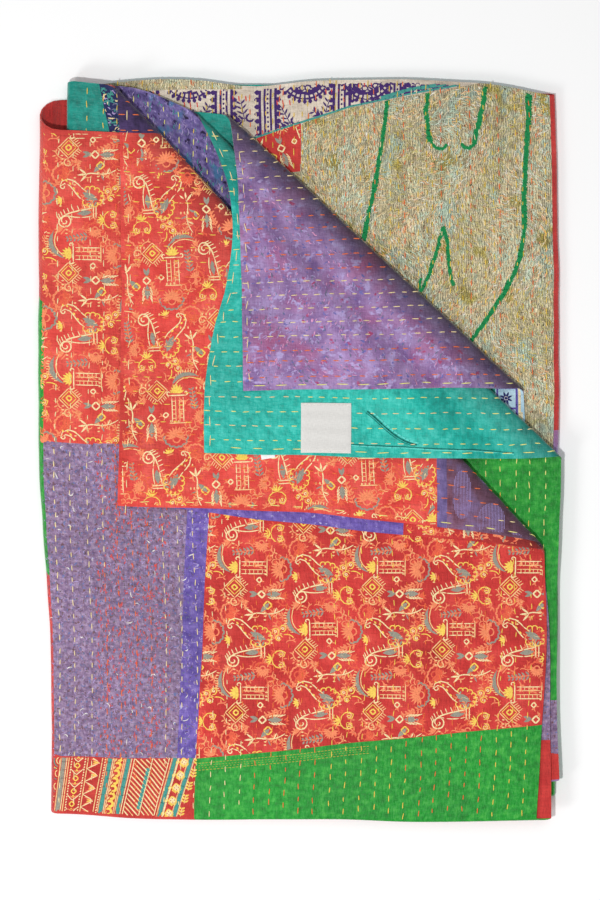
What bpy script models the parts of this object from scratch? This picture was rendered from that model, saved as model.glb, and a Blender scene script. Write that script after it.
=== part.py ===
"""A kantha throw, folded in eight plies, with the corners of its top four plies turned back.

The cloth is one sheet. Its width is folded in two along the bottom edge, and its length is folded in
two and in two again, so eight plies lie on each other. The four plies on top end in free hems at the
top and at the right, and their upper right corners are folded over to the lower left: the two
uppermost together, then each of the next two. A woven label and a care tag are sewn to it.

Metres, +Z up, the quilt's length along Y. It lies on z = 0, with the middle of its box over the origin.
"""

import math

import bmesh
import bpy
import numpy as np
from mathutils import Vector

MM = 0.001

# The cloth and the pile.
THICKNESS = 1.3 * MM  # two layers of old saris with the running stitch through them
PITCH = 2.2 * MM  # from one ply to the next, so plies lie a little apart
TURN_RADIUS = 2.5 * MM  # of the fold where one ply is turned back
EASE_LENGTH = 25 * MM  # over which a turned ply settles from its fold to the ply under it
CLIMB_FROM = 30 * MM  # distance beyond the upper turn at which the plies below start to climb over it
CLIMBED_AT = 4 * MM
STEP_FROM = 15 * MM  # the same for the lowest turned ply at the middle turn
STEPPED_AT = 2 * MM
CLEARANCE = 0.3 * MM  # between the cloth and what is sewn to it

# How finely the sheet is divided.
COLUMNS = 8  # across each ply
ROWS = 9  # from the bottom fold to the top hem
SIDE_STEPS = 5  # round each fold at the sides
BOTTOM_STEPS = 4  # round the fold at the bottom
TURN_STEPS = 4  # round each turned corner's fold
EASE_SHARES = (0.3, 0.6, 1)  # where a turned ply is divided as it settles, as shares of EASE_LENGTH

# Each ply: its level in the pile, and its edges in millimetres, as stations evenly spaced along them.
# left and right run from the bottom to the top, bottom and top run from left to right.
PLIES = {
    #        level, left edge, right edge, bottom edge, top hem
    "P0": (
        7,
        (-214, -215, -225, -225, -224),
        (203, 211, 207, 203, 195),
        (-311, -316, -315, -318, -316),
        (276, 271, 267, 262, 258),
    ),
    "P1": (
        6,
        (-211, -209, -206, -203, -200),
        (216, 214, 203, 198, 203),
        (-311, -316, -315, -318, -316),
        (318, 307, 299, 293, 288),
    ),
    "P2": (
        5,
        (-206, -203, -200, -198, -195),
        (223, 220, 225, 216, 203),
        (-306, -304, -300, -293, -283),
        (314, 312, 292, 272, 265, 273, 289, 299, 302),
    ),
    "P3": (
        4,
        (-202, -199, -195, -193, -190),
        (219, 199, 194, 185, 177),
        (-306, -304, -300, -293, -283),
        (297, 292, 286, 289, 294),
    ),
    "P4": (
        3,
        (-202, -199, -195, -193, -190),
        (219, 221, 222, 222, 219),
        (-303, -302, -300, -298, -296),
        (314, 319, 319, 314, 319, 320, 319, 316, 306),
    ),
    "P5": (
        2,
        (-206, -203, -200, -198, -195),
        (214, 216, 217, 217, 214),
        (-303, -302, -300, -298, -296),
        (312, 316, 315, 316, 305),
    ),
    "P6": (
        1,
        (-211, -209, -206, -203, -200),
        (214, 216, 217, 217, 214),
        (-309, -307, -304, -300, -297),
        (316, 315, 314, 315, 307),
    ),
    "P7": (
        0,
        (-214, -215, -225, -225, -224),
        (219, 221, 222, 222, 219),
        (-309, -307, -304, -300, -297),
        (303, 306, 309, 311, 308),
    ),
}

# Each fold at a side: the plies that it joins, the side, and how far it reaches in millimetres, from
# the bottom to the top. A fold that reaches further than half its height slopes down to its edge.
SIDE_FOLDS = {
    # between       side, reach
    ("P0", "P7"): ("left", (7.7, 9, 14, 17, 17)),
    ("P1", "P6"): ("left", (5.5, 5.5, 5.5, 5.5, 5.5)),
    ("P7", "P4"): ("right", (3.3, 3.5, 4, 4, 4)),
    ("P6", "P5"): ("right", (1.1, 1.1, 1.1, 1.1, 1.1)),
    ("P4", "P3"): ("left", (1.1, 1.1, 1.1, 1.1, 1.1)),
    ("P5", "P2"): ("left", (3.3, 3.3, 3.3, 3.3, 3.3)),
}

# The two halves of the width, each as the order of its plies along the cloth's length.
OUTER_HALF = ("P0", "P7", "P4", "P3")
INNER_HALF = ("P1", "P6", "P5", "P2")

# The lines on which the corners are turned back, each by its two ends in millimetres.
TURN_LINES = {
    "upper": ((-162, 315), (204, -78)),
    "middle": ((-91, 290), (221, -3)),
    "lower": ((-59, 285), (187, 56)),
}
TURNED = {"P0": "upper", "P1": "upper", "P2": "middle", "P3": "lower"}

# What is sewn to the cloth: size, thickness and centre in millimetres.
LABEL = {"size": (43, 43), "thickness": 0.5, "centre": (22, 19), "slant": 0}
CARE_TAG = {"size": (12, 26), "thickness": 0.3, "centre": (-29, 6), "slant": 8}


def along(stations, t):
    """A smooth curve through evenly spaced stations, at t from 0 to 1 (Catmull-Rom)."""
    points = np.array(stations, float)
    points = np.concatenate([[2 * points[0] - points[1]], points, [2 * points[-1] - points[-2]]])
    place = np.clip(t, 0, 1) * (len(stations) - 1)
    first = np.minimum(place.astype(int), len(stations) - 2)
    f = place - first
    a, b, c, d = (points[first + k] for k in range(4))
    return 0.5 * (2 * b + (c - a) * f + (2 * a - 5 * b + 4 * c - d) * f**2 + (3 * b - a - 3 * c + d) * f**3)


def smooth(t):
    """0 up to t = 0, 1 from t = 1, and an even slope between."""
    t = min(max(t, 0.0), 1.0)
    return t * t * (3 - 2 * t)


def height(level):
    return THICKNESS / 2 + level * PITCH


def fold_at(ply, side):
    """The side fold that ends this ply there, or None at a hem."""
    for pair, (where, reach) in SIDE_FOLDS.items():
        if ply in pair and where == side:
            return pair, reach
    return None, None


def flat_sides(ply, v):
    """Where the ply's flat part starts and ends in x, at the heights v up the ply."""
    level, left, right, bottom, top = PLIES[ply]
    x = [along(left, v) * MM, along(right, v) * MM]
    for end, side, inwards in ((0, "left", 1), (1, "right", -1)):
        pair, reach = fold_at(ply, side)
        if pair:
            x[end] = x[end] + inwards * along(reach, v) * MM
    return x


def ply_columns(ply, across, v):
    """Points of the flat ply, a column for each place across it and a row for each v up it."""
    level, left, right, bottom, top = PLIES[ply]
    start, end = flat_sides(ply, v)
    low = along(bottom, across) * MM
    high = along(top, across) * MM
    x = start + (end - start) * across[:, None]
    y = low[:, None] + (high - low)[:, None] * v
    return np.stack([x, y, np.full_like(x, height(level))], axis=-1)


def side_fold_columns(above, below, v):
    """Points round the fold from the first ply to the second: half an ellipse at each row."""
    pair = (above, below)
    side, reach = SIDE_FOLDS[pair]
    end = 0.0 if side == "left" else 1.0
    outwards = -1 if side == "left" else 1
    start = flat_sides(above, v)[int(end)]
    angle = (np.arange(1, SIDE_STEPS) / SIDE_STEPS * math.pi)[:, None]
    share = (1 - np.cos(angle)) / 2
    first = ply_columns(above, np.array([end]), v)[0]
    last = ply_columns(below, np.array([end]), v)[0]
    x = start + outwards * along(reach, v) * MM * np.sin(angle)
    y = first[:, 1] + (last[:, 1] - first[:, 1]) * share
    z = first[:, 2] + (last[:, 2] - first[:, 2]) * share
    return np.stack([x, y, z], axis=-1)


def half_of_cloth(plies, v):
    """All columns of one half of the width, ply after ply along the cloth's length."""
    strips, names = [], []
    leftwards = True
    for place, ply in enumerate(plies):
        across = np.linspace(1, 0, COLUMNS + 1) if leftwards else np.linspace(0, 1, COLUMNS + 1)
        strips.append(ply_columns(ply, across, v))
        names += [ply] * COLUMNS
        if place + 1 < len(plies):
            strips.append(side_fold_columns(ply, plies[place + 1], v))
            names += ["fold"] * SIDE_STEPS
        leftwards = not leftwards
    return np.concatenate(strips), names


def bottom_fold(outer, inner):
    """Points round the bottom fold, from the outer half's lowest row to the inner half's."""
    angle = (np.arange(1, BOTTOM_STEPS) / BOTTOM_STEPS * math.pi)[None, :, None]
    middle = (outer + inner)[:, None, :] / 2
    arm = (outer - inner)[:, None, :] / 2
    points = middle + arm * np.cos(angle)
    points[..., 1] -= PITCH / 2 * np.sin(angle[..., 0])
    return points


def line_frame(line):
    """A turn line as a point on it and its unit normal, which points to the corner that is turned."""
    (x0, y0), (x1, y1) = TURN_LINES[line]
    normal = Vector((y0 - y1, x1 - x0, 0)).normalized()
    return Vector((x0, y0, 0)) * MM, normal


def beyond(line, x, y):
    """How far a point lies beyond a turn line, towards the corner."""
    point, normal = line_frame(line)
    return (x - point.x) * normal.x + (y - point.y) * normal.y


def fold_shape(ply):
    """The radius of a turned ply's fold, and how far its middle lies inside the turn line.

    P1 is turned round P0, so its fold is one pitch wider and P0's has the same middle.
    """
    radius = TURN_RADIUS + PITCH if ply == "P1" else TURN_RADIUS
    inset = TURN_RADIUS + PITCH if TURNED[ply] == "upper" else TURN_RADIUS
    return radius, inset


def bulge_beside(line, x, y):
    """How much higher than their pitch turned plies lie near their fold, which stays open."""
    inset = fold_shape("P1")[1] if line == "upper" else fold_shape("P2")[1]
    return (2 * TURN_RADIUS - PITCH) * (1 - smooth((-beyond(line, x, y) - inset) / EASE_LENGTH))


def rest_height(ply, x, y):
    """The height at which the turned part of a ply lies, over what is under it there."""
    over_upper = bulge_beside("upper", x, y)
    if ply == "P0":
        return height(8) + over_upper
    if ply == "P1":
        return height(9) + over_upper
    climb = smooth((CLIMB_FROM - beyond("upper", x, y)) / (CLIMB_FROM - CLIMBED_AT))
    middle = height(6) + bulge_beside("middle", x, y)
    middle += climb * (height(10) - height(6) + over_upper)
    if ply == "P2":
        return middle
    own_fold = height(4) + 2 * TURN_RADIUS
    step = smooth((STEP_FROM - beyond("middle", x, y)) / (STEP_FROM - STEPPED_AT))
    return own_fold + step * (middle + PITCH - own_fold)


def turned(ply, point):
    """Where a point of the flat ply goes when its corner is turned back round the fold."""
    normal = line_frame(TURNED[ply])[1]
    radius, inset = fold_shape(ply)
    past = beyond(TURNED[ply], point.x, point.y) + inset
    if past <= 0:
        return point
    start = point - normal * past
    if past <= math.pi * radius:
        angle = past / radius
        return start + Vector((0, 0, radius * (1 - math.cos(angle)))) + normal * radius * math.sin(angle)
    place = start - normal * (past - math.pi * radius)
    return Vector((place.x, place.y, rest_height(ply, place.x, place.y)))


def cut_distances(ply):
    """Where a ply is divided beyond the start of its fold, so that its bends have edges to turn on."""
    radius = fold_shape(ply)[0]
    round_fold = [math.pi * radius * k / TURN_STEPS for k in range(TURN_STEPS + 1)]
    easing = [math.pi * radius + EASE_LENGTH * share for share in EASE_SHARES]
    return round_fold + easing


def mirrored_line(ply, line, distance):
    """Where, on a ply before it is turned, lies the line that its turned part crosses at this place."""
    point, normal = line_frame(line)
    point = point + normal * distance
    about, across = line_frame(TURNED[ply])
    point = point - across * 2 * (point - about).dot(across)
    return point, normal - across * 2 * normal.dot(across)


def divide(sheet, ply, tag, index, point, normal):
    """Cuts the faces of one flat ply along an upright plane, and leaves both sides in place."""
    faces = [face for face in sheet.faces if face[tag] == index]
    edges = {edge for face in faces for edge in face.edges}
    verts = {vert for face in faces for vert in face.verts}
    bmesh.ops.bisect_plane(
        sheet, geom=list(verts) + list(edges) + faces, plane_co=point, plane_no=normal, dist=1e-6
    )


def cloth_surface():
    """The middle surface of the whole cloth, folded, as a bmesh whose faces know their ply."""
    v = np.linspace(0, 1, ROWS + 1)
    outer, names = half_of_cloth(OUTER_HALF, v)
    inner, inner_names = half_of_cloth(INNER_HALF, v)
    fold = bottom_fold(outer[:, 0], inner[:, 0])
    grid = np.concatenate([outer[:, ::-1], fold, inner], axis=1)
    sheet = bmesh.new()
    tag = sheet.faces.layers.int.new("ply")
    verts = [[sheet.verts.new(point) for point in column] for column in grid]
    plies = list(PLIES)
    for c in range(len(grid) - 1):
        for r in range(grid.shape[1] - 1):
            face = sheet.faces.new((verts[c][r], verts[c][r + 1], verts[c + 1][r + 1], verts[c + 1][r]))
            half = names if r < ROWS else inner_names
            flat = half[c] != "fold" and (r < ROWS or r >= ROWS + BOTTOM_STEPS)
            face[tag] = plies.index(half[c]) if flat else -1
    return sheet, tag


def turn_corners(sheet, tag):
    """Divides the four upper plies where they bend, and turns their corners back."""
    for ply, line in TURNED.items():
        index = list(PLIES).index(ply)
        point, normal = line_frame(line)
        inset = fold_shape(ply)[1]
        cuts = [(point + normal * (d - inset), normal) for d in cut_distances(ply)]
        if ply in ("P2", "P3"):
            upper_inset = fold_shape("P1")[1]
            places = [CLIMB_FROM + (CLIMBED_AT - CLIMB_FROM) * share for share in (0, 0.3, 0.6, 1)]
            places += [-upper_inset - EASE_LENGTH * share for share in (0, *EASE_SHARES)]
            cuts += [mirrored_line(ply, "upper", place) for place in places]
        if ply == "P3":
            middle_inset = fold_shape("P2")[1]
            places = [STEP_FROM, (STEP_FROM + STEPPED_AT) / 2, STEPPED_AT]
            places += [-middle_inset - EASE_LENGTH * share for share in (0, *EASE_SHARES)]
            cuts += [mirrored_line(ply, "middle", place) for place in places]
        for cut in cuts:
            divide(sheet, ply, tag, index, *cut)
        faces = [face for face in sheet.faces if face[tag] == index]
        bmesh.ops.triangulate(sheet, faces=[face for face in faces if len(face.verts) > 4])
        verts = {vert for face in sheet.faces if face[tag] == index for vert in face.verts}
        for vert in verts:
            vert.co = turned(ply, vert.co)


def fabric(name, colour, roughness):
    """A plain cloth material."""
    material = bpy.data.materials.new(name)
    material.use_nodes = True
    shader = material.node_tree.nodes["Principled BSDF"]
    shader.inputs["Base Color"].default_value = (*colour, 1)
    shader.inputs["Roughness"].default_value = roughness
    shader.inputs["Metallic"].default_value = 0
    return material


def object_from(name, shape, material):
    """A named object with this bmesh and material."""
    mesh = bpy.data.meshes.new(name)
    shape.to_mesh(mesh)
    shape.free()
    mesh.materials.append(material)
    piece = bpy.data.objects.new(name, mesh)
    bpy.context.scene.collection.objects.link(piece)
    return piece


def middle_of(sheet):
    """The middle of the sheet's box, seen from above."""
    points = np.array([vert.co for vert in sheet.verts])
    low, high = points.min(axis=0), points.max(axis=0)
    return Vector(((low[0] + high[0]) / 2, (low[1] + high[1]) / 2, 0))


def make_quilt():
    """The quilt, and where its middle was before it was put over the origin."""
    sheet, tag = cloth_surface()
    turn_corners(sheet, tag)
    middle = middle_of(sheet)
    bmesh.ops.translate(sheet, verts=sheet.verts, vec=-middle)
    bmesh.ops.recalc_face_normals(sheet, faces=sheet.faces)
    quilt = object_from("quilt", sheet, fabric("kantha_cotton_silk", (0.62, 0.09, 0.08), 0.75))
    wall = quilt.modifiers.new("thickness", "SOLIDIFY")
    wall.thickness = THICKNESS
    wall.offset = 0
    wall.use_even_offset = True
    return middle


def make_patch(name, facts, bottom, middle, material):
    """A thin flat rectangle of woven tape, its underside at the given height."""
    shape = bmesh.new()
    bmesh.ops.create_cube(shape, size=1)
    size = Vector((facts["size"][0], facts["size"][1], facts["thickness"])) * MM
    bmesh.ops.scale(shape, verts=shape.verts, vec=size)
    patch = object_from(name, shape, material)
    centre = Vector((*facts["centre"], facts["thickness"] / 2)) * MM
    patch.location = centre - middle + Vector((0, 0, bottom))
    patch.rotation_euler.z = math.radians(facts["slant"])


def main():
    for left_over in list(bpy.data.objects):
        bpy.data.objects.remove(left_over)
    middle = make_quilt()
    over_middle_flap = height(10) + THICKNESS / 2 + CLEARANCE
    make_patch("label", LABEL, over_middle_flap, middle, fabric("label_tape", (0.68, 0.68, 0.66), 0.6))
    over_upper_flap = height(9) + THICKNESS / 2 + CLEARANCE
    make_patch("care_tag", CARE_TAG, over_upper_flap, middle, fabric("tag_satin", (0.85, 0.85, 0.84), 0.5))


main()
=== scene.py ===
# %% [markdown]
# # A folded kantha throw
# A kantha is made of old saris. Two or three worn layers are laid on each other, patched where they are
# thin, and held together by rows of running stitch from one end to the other. The stitching draws the
# cloth in a little, so the whole surface ripples. This one is folded into eight plies, and the corners of
# the four plies on top are turned back, so that both of its faces show.

import math

import bmesh
import bpy
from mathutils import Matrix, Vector
import numpy as np


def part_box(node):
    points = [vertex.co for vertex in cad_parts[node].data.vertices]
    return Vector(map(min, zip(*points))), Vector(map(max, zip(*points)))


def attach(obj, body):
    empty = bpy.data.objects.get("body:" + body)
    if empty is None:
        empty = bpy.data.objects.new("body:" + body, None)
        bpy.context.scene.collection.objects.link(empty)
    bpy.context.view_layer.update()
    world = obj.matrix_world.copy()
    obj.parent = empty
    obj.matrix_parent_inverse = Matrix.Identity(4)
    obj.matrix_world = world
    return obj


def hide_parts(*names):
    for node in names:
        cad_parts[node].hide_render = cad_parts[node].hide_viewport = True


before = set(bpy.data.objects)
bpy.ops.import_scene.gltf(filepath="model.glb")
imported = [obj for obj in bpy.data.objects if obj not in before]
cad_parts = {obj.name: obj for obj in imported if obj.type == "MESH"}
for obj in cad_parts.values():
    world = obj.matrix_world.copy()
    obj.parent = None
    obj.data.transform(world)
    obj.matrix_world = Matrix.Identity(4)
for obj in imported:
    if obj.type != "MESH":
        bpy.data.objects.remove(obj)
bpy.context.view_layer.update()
QUILT_LOW, QUILT_HIGH = (np.array(corner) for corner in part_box("quilt"))
print("the quilt's box:", QUILT_LOW, QUILT_HIGH)

# %% [markdown]
# ## The camera
# The throw lies flat and is seen from straight above. A long lens far away keeps the pile's sides from
# spreading out towards the edges of the picture.

# %% Camera, floor and light
VIEW_WIDTH = 0.516  # metres across the picture, where the throw lies
CAMERA_HEIGHT = 3.2
PILE_MIDDLE = 0.015  # metres above the floor
SENSOR_WIDTH = 36
scene = bpy.context.scene
scene.view_settings.view_transform = "Standard"
lens = bpy.data.cameras.new("above")
lens.sensor_fit = "HORIZONTAL"
lens.sensor_width = SENSOR_WIDTH
lens.lens = SENSOR_WIDTH * (CAMERA_HEIGHT - PILE_MIDDLE) / VIEW_WIDTH
camera = bpy.data.objects.new("above", lens)
camera.location = (0, 0, CAMERA_HEIGHT)
scene.collection.objects.link(camera)
scene.camera = camera


def area_lamp(name, size, power, place, target=(0, 0, 0)):
    """A square soft lamp at place, turned to shine at target."""
    data = bpy.data.lights.new(name, "AREA")
    data.size = size
    data.energy = power
    lamp = bpy.data.objects.new(name, data)
    lamp.location = place
    aim = [t - p for t, p in zip(target, place)]
    lamp.rotation_euler = Vector(aim).to_track_quat("-Z", "Y").to_euler()
    scene.collection.objects.link(lamp)


area_lamp("key", 0.6, 15, (-1.5, -1.2, 1.2))
area_lamp("flash", 0.1, 30, (-0.5, -0.5, 2.3))
area_lamp("fill", 1.6, 7, (0.6, 0.9, 2.4))
world = bpy.data.worlds.new("studio")
scene.world = world
world.use_nodes = True
world.node_tree.nodes["Background"].inputs["Color"].default_value = (1, 1, 1, 1)
world.node_tree.nodes["Background"].inputs["Strength"].default_value = 0.38

floor_mesh = bpy.data.meshes.new("floor")
floor_mesh.from_pydata([(-3, -3, 0), (3, -3, 0), (3, 3, 0), (-3, 3, 0)], [], [(0, 1, 2, 3)])
floor = bpy.data.objects.new("floor", floor_mesh)
scene.collection.objects.link(floor)
pale = bpy.data.materials.new("floor_white")
pale.use_nodes = True
pale.node_tree.nodes["Principled BSDF"].inputs["Base Color"].default_value = (0.95, 0.95, 0.95, 1)
pale.node_tree.nodes["Principled BSDF"].inputs["Roughness"].default_value = 0.9
floor_mesh.materials.append(pale)

# %% [markdown]
# ## The fold, as a function
# The folded throw is a function of two cloth coordinates. Every ply is a flat chart between four uneven
# edges, and the edges are smooth curves through a few stations. All lengths in this part are millimetres.

# %% The pile
THICKNESS = 1.3
PITCH = 2.2
TURN_RADIUS = 2.5
EASE_LENGTH = 25.0
CLIMB_FROM, CLIMBED_AT = 30.0, 4.0
STEP_FROM, STEPPED_AT = 15.0, 2.0
PLIES = {
    #     level, left, right, bottom, top
    "P0": (7, (-214, -215, -225, -225, -224), (203, 211, 207, 203, 195),
           (-311, -316, -315, -318, -316), (276, 271, 267, 262, 258)),
    "P1": (6, (-211, -209, -206, -203, -200), (216, 214, 203, 198, 203),
           (-311, -316, -315, -318, -316), (318, 307, 299, 293, 288)),
    "P2": (5, (-206, -203, -200, -198, -195), (223, 220, 225, 216, 203),
           (-306, -304, -300, -293, -283), (314, 312, 292, 272, 265, 273, 289, 299, 302)),
    "P3": (4, (-202, -199, -195, -193, -190), (219, 199, 194, 185, 177),
           (-306, -304, -300, -293, -283), (297, 292, 286, 289, 294)),
    "P4": (3, (-202, -199, -195, -193, -190), (219, 221, 222, 222, 219),
           (-303, -302, -300, -298, -296), (314, 319, 319, 314, 319, 320, 319, 316, 306)),
    "P5": (2, (-206, -203, -200, -198, -195), (214, 216, 217, 217, 214),
           (-303, -302, -300, -298, -296), (312, 316, 315, 316, 305)),
    "P6": (1, (-211, -209, -206, -203, -200), (214, 216, 217, 217, 214),
           (-309, -307, -304, -300, -297), (316, 315, 314, 315, 307)),
    "P7": (0, (-214, -215, -225, -225, -224), (219, 221, 222, 222, 219),
           (-309, -307, -304, -300, -297), (303, 306, 309, 311, 308)),
}
SIDE_FOLDS = {
    ("P0", "P7"): ("left", (7.7, 9, 14, 17, 17)),
    ("P1", "P6"): ("left", (5.5, 5.5)),
    ("P7", "P4"): ("right", (3.3, 3.5, 4, 4, 4)),
    ("P6", "P5"): ("right", (1.1, 1.1)),
    ("P4", "P3"): ("left", (1.1, 1.1)),
    ("P5", "P2"): ("left", (3.3, 3.3)),
}
OUTER_HALF = ("P0", "P7", "P4", "P3")
INNER_HALF = ("P1", "P6", "P5", "P2")
TURN_LINES = {
    "upper": ((-162, 315), (204, -78)),
    "middle": ((-91, 290), (221, -3)),
    "lower": ((-59, 285), (187, 56)),
}
TURNED = {"P0": "upper", "P1": "upper", "P2": "middle", "P3": "lower"}
CLOTH_WIDTH, CLOTH_HEIGHT = 430.0, 620.0  # of one ply, for measures along the cloth
STITCH_ROWS = 32  # across one ply


def along(stations, t):
    """A smooth curve through evenly spaced stations, at t from 0 to 1: the Catmull-Rom cubic."""
    p = np.array(stations, float)
    p = np.concatenate([[2 * p[0] - p[1]], p, [2 * p[-1] - p[-2]]])
    place = np.clip(t, 0, 1) * (len(stations) - 1)
    first = np.minimum(place.astype(int), len(stations) - 2)
    f = place - first
    a, b, c, d = (p[first + k] for k in range(4))
    return 0.5 * (2 * b + (c - a) * f + (2 * a - 5 * b + 4 * c - d) * f**2 + (3 * b - a - 3 * c + d) * f**3)


def smooth(t):
    """0 up to t = 0, 1 from t = 1, and 3 t squared less 2 t cubed between."""
    t = np.clip(t, 0, 1)
    return t * t * (3 - 2 * t)


def height(level):
    """The middle of the ply on this level: half a thickness and as many pitches."""
    return THICKNESS / 2 + level * PITCH


def flat_sides(ply, v):
    """Where the ply's flat part starts and ends in x, once its side folds have taken their reach."""
    ends = [along(PLIES[ply][1], v), along(PLIES[ply][2], v)]
    for pair, (side, reach) in SIDE_FOLDS.items():
        if ply in pair:
            k = ("left", "right").index(side)
            ends[k] = ends[k] + (1, -1)[k] * along(reach, v)
    return ends


def chart_to_flat(ply, u, v):
    """x goes evenly from the left side to the right at each v, y from the bottom to the top at each u."""
    start, end = flat_sides(ply, v)
    low, high = along(PLIES[ply][3], u), along(PLIES[ply][4], u)
    return start + (end - start) * u, low + (high - low) * v


def flat_to_chart(ply, x, y):
    """The inverse of chart_to_flat, by three rounds of substitution. It runs on past the edges."""
    u, v = np.full_like(x, 0.5), np.full_like(x, 0.5)
    for _ in range(3):
        start, end = flat_sides(ply, v)
        u = (x - start) / (end - start)
        low, high = along(PLIES[ply][3], u), along(PLIES[ply][4], u)
        v = (y - low) / (high - low)
    return u, v


# %% [markdown]
# ## Turning the corners back
# A corner that is turned back runs flat to its fold, round half a circle, and back over the pile. Where it
# crosses the edge of an earlier turned corner it climbs over it in a soft slope. The same function places
# the cloth, the print on it and every stitch, so they can't drift apart.

# %% Turned corners
def line_frame(name):
    """A point on the turn line, and the unit normal that points to the turned corner."""
    (x0, y0), (x1, y1) = TURN_LINES[name]
    normal = np.array([y0 - y1, x1 - x0], float)
    return np.array([x0, y0], float), normal / np.linalg.norm(normal)


def beyond(name, x, y):
    """How far points lie past the turn line."""
    point, normal = line_frame(name)
    return (x - point[0]) * normal[0] + (y - point[1]) * normal[1]


def fold_shape(ply):
    """The fold's radius, and how far its middle lies inside its turn line."""
    radius = TURN_RADIUS + (PITCH if ply == "P1" else 0)
    inset = TURN_RADIUS + (PITCH if TURNED[ply] == "upper" else 0)
    return radius, inset


def bulge_beside(line, x, y):
    """What a turned ply lies higher beside its own open fold."""
    inset = fold_shape("P1")[1] if line == "upper" else TURN_RADIUS
    return (2 * TURN_RADIUS - PITCH) * (1 - smooth((-beyond(line, x, y) - inset) / EASE_LENGTH))


def rest_height(ply, x, y):
    """Where the turned part of a ply lies: its level, its fold's bulge, and the climb over what is below."""
    over_upper = bulge_beside("upper", x, y)
    if ply in ("P0", "P1"):
        return height(8 if ply == "P0" else 9) + over_upper
    climb = smooth((CLIMB_FROM - beyond("upper", x, y)) / (CLIMB_FROM - CLIMBED_AT))
    middle = height(6) + bulge_beside("middle", x, y) + climb * (height(10) - height(6) + over_upper)
    if ply == "P2":
        return middle
    own_fold = height(4) + 2 * TURN_RADIUS
    step = smooth((STEP_FROM - beyond("middle", x, y)) / (STEP_FROM - STEPPED_AT))
    return own_fold + step * (middle + PITCH - own_fold)


def fold_over(ply, x, y):
    """Flat points to their folded places. Past the fold's start the way goes round half a circle of the
    fold's radius, then straight back, at the height that rest_height gives."""
    z = np.full_like(x, height(PLIES[ply][0]))
    if ply not in TURNED:
        return np.stack([x, y, z], -1)
    normal = line_frame(TURNED[ply])[1]
    radius, inset = fold_shape(ply)
    past = np.maximum(beyond(TURNED[ply], x, y) + inset, 0)
    angle = np.minimum(past / radius, math.pi)
    shift = radius * np.sin(angle) - np.maximum(past - math.pi * radius, 0) - past
    px, py = x + normal[0] * shift, y + normal[1] * shift
    lifted = z + radius * (1 - np.cos(angle))
    return np.stack([px, py, np.where(past > math.pi * radius, rest_height(ply, px, py), lifted)], -1)


def unfold(ply, x, y):
    """Where on the flat ply the point of its turned part lies that is seen at x, y."""
    radius, inset = fold_shape(ply)
    normal = line_frame(TURNED[ply])[1]
    seen = beyond(TURNED[ply], x, y)
    past = math.pi * radius - inset - seen
    return x + normal[0] * (past - inset - seen), y + normal[1] * (past - inset - seen)


def outer_roll(x, y, z):
    """Carries points left of the top ply's flat part round the outermost side fold: half an ellipse."""
    _, v = flat_to_chart("P0", x, y)
    start = flat_sides("P0", v)[0]
    reach = along(SIDE_FOLDS["P0", "P7"][1], v)
    half = 3.5 * PITCH
    angle = np.maximum(start - x, 0) / np.sqrt((reach**2 + half**2) / 2)
    rolled = x < start
    x = np.where(rolled, start - reach * np.sin(angle), x)
    z = np.where(rolled, height(3.5) + half * np.cos(angle), z)
    return x, y, z


def middle_place(ply, x, y):
    """The middle of the cloth at flat points of a ply."""
    p = fold_over(ply, x, y)
    if ply == "P0":
        p = np.stack(outer_roll(p[..., 0], p[..., 1], p[..., 2]), -1)
    return p


# %% [markdown]
# ## Ripples and creases
# Between two rows of stitches the cloth stands a little proud, and it is pressed flat along them. Larger
# waves and a few creases come from how the throw was handled. They shift every ply under them alike, less
# and less further down, so that the plies stay apart and the lowest one stays flat on the table.

# %% Relief of the cloth
RIPPLE = 0.55
CREASES = (
    # from          to            width  depth, in mm: a soft trough where depth is negative
    ((-60, 210), (-52, 60), 9.0, 0.8),
    ((-30, 150), (70, 64), 8.0, 0.9),
    ((0, 200), (110, 80), 7.0, -0.7),
    ((-150, 250), (-60, 120), 9.0, 0.9),
    ((-120, 120), (-140, -20), 8.0, -0.8),
    ((-190, 0), (-120, -12), 7.0, -0.7),
    ((-20, -90), (90, -75), 9.0, 0.9),
    ((60, -120), (150, -190), 10.0, -0.8),
    ((-100, -150), (-105, -250), 7.0, 0.8),
    ((-40, -235), (190, -225), 11.0, -0.9),
    ((170, -60), (205, -200), 9.0, 0.8),
    ((150, 280), (205, 260), 8.0, -1.0),
    ((60, 240), (150, 180), 9.0, 0.9),
    ((120, 120), (200, 60), 8.0, -0.8),
)


def wander(x, y, seed):
    """A smooth uneven value between -1 and 1: a few crossing sine waves."""
    rng = np.random.default_rng(seed)
    total = 0
    for k in range(5):
        angle, phase = rng.uniform(0, 2 * math.pi, 2)
        wave = rng.uniform(0.7, 1.4)
        total = total + np.sin((x * math.cos(angle) + y * math.sin(angle)) * wave + phase)
    return total / 5


def ripple(u, v):
    """How far each face of the cloth stands out over its seams: nothing at a row, most between two rows,
    uneven along them, and nothing at the bottom fold."""
    place = u * STITCH_ROWS
    between = 1 - 2 * np.abs(place - np.floor(place) - 0.5)
    uneven = 0.72 + 0.28 * wander(u * 40, v * 55, 3)
    return RIPPLE * between * uneven * smooth(v * CLOTH_HEIGHT / 12)


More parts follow.
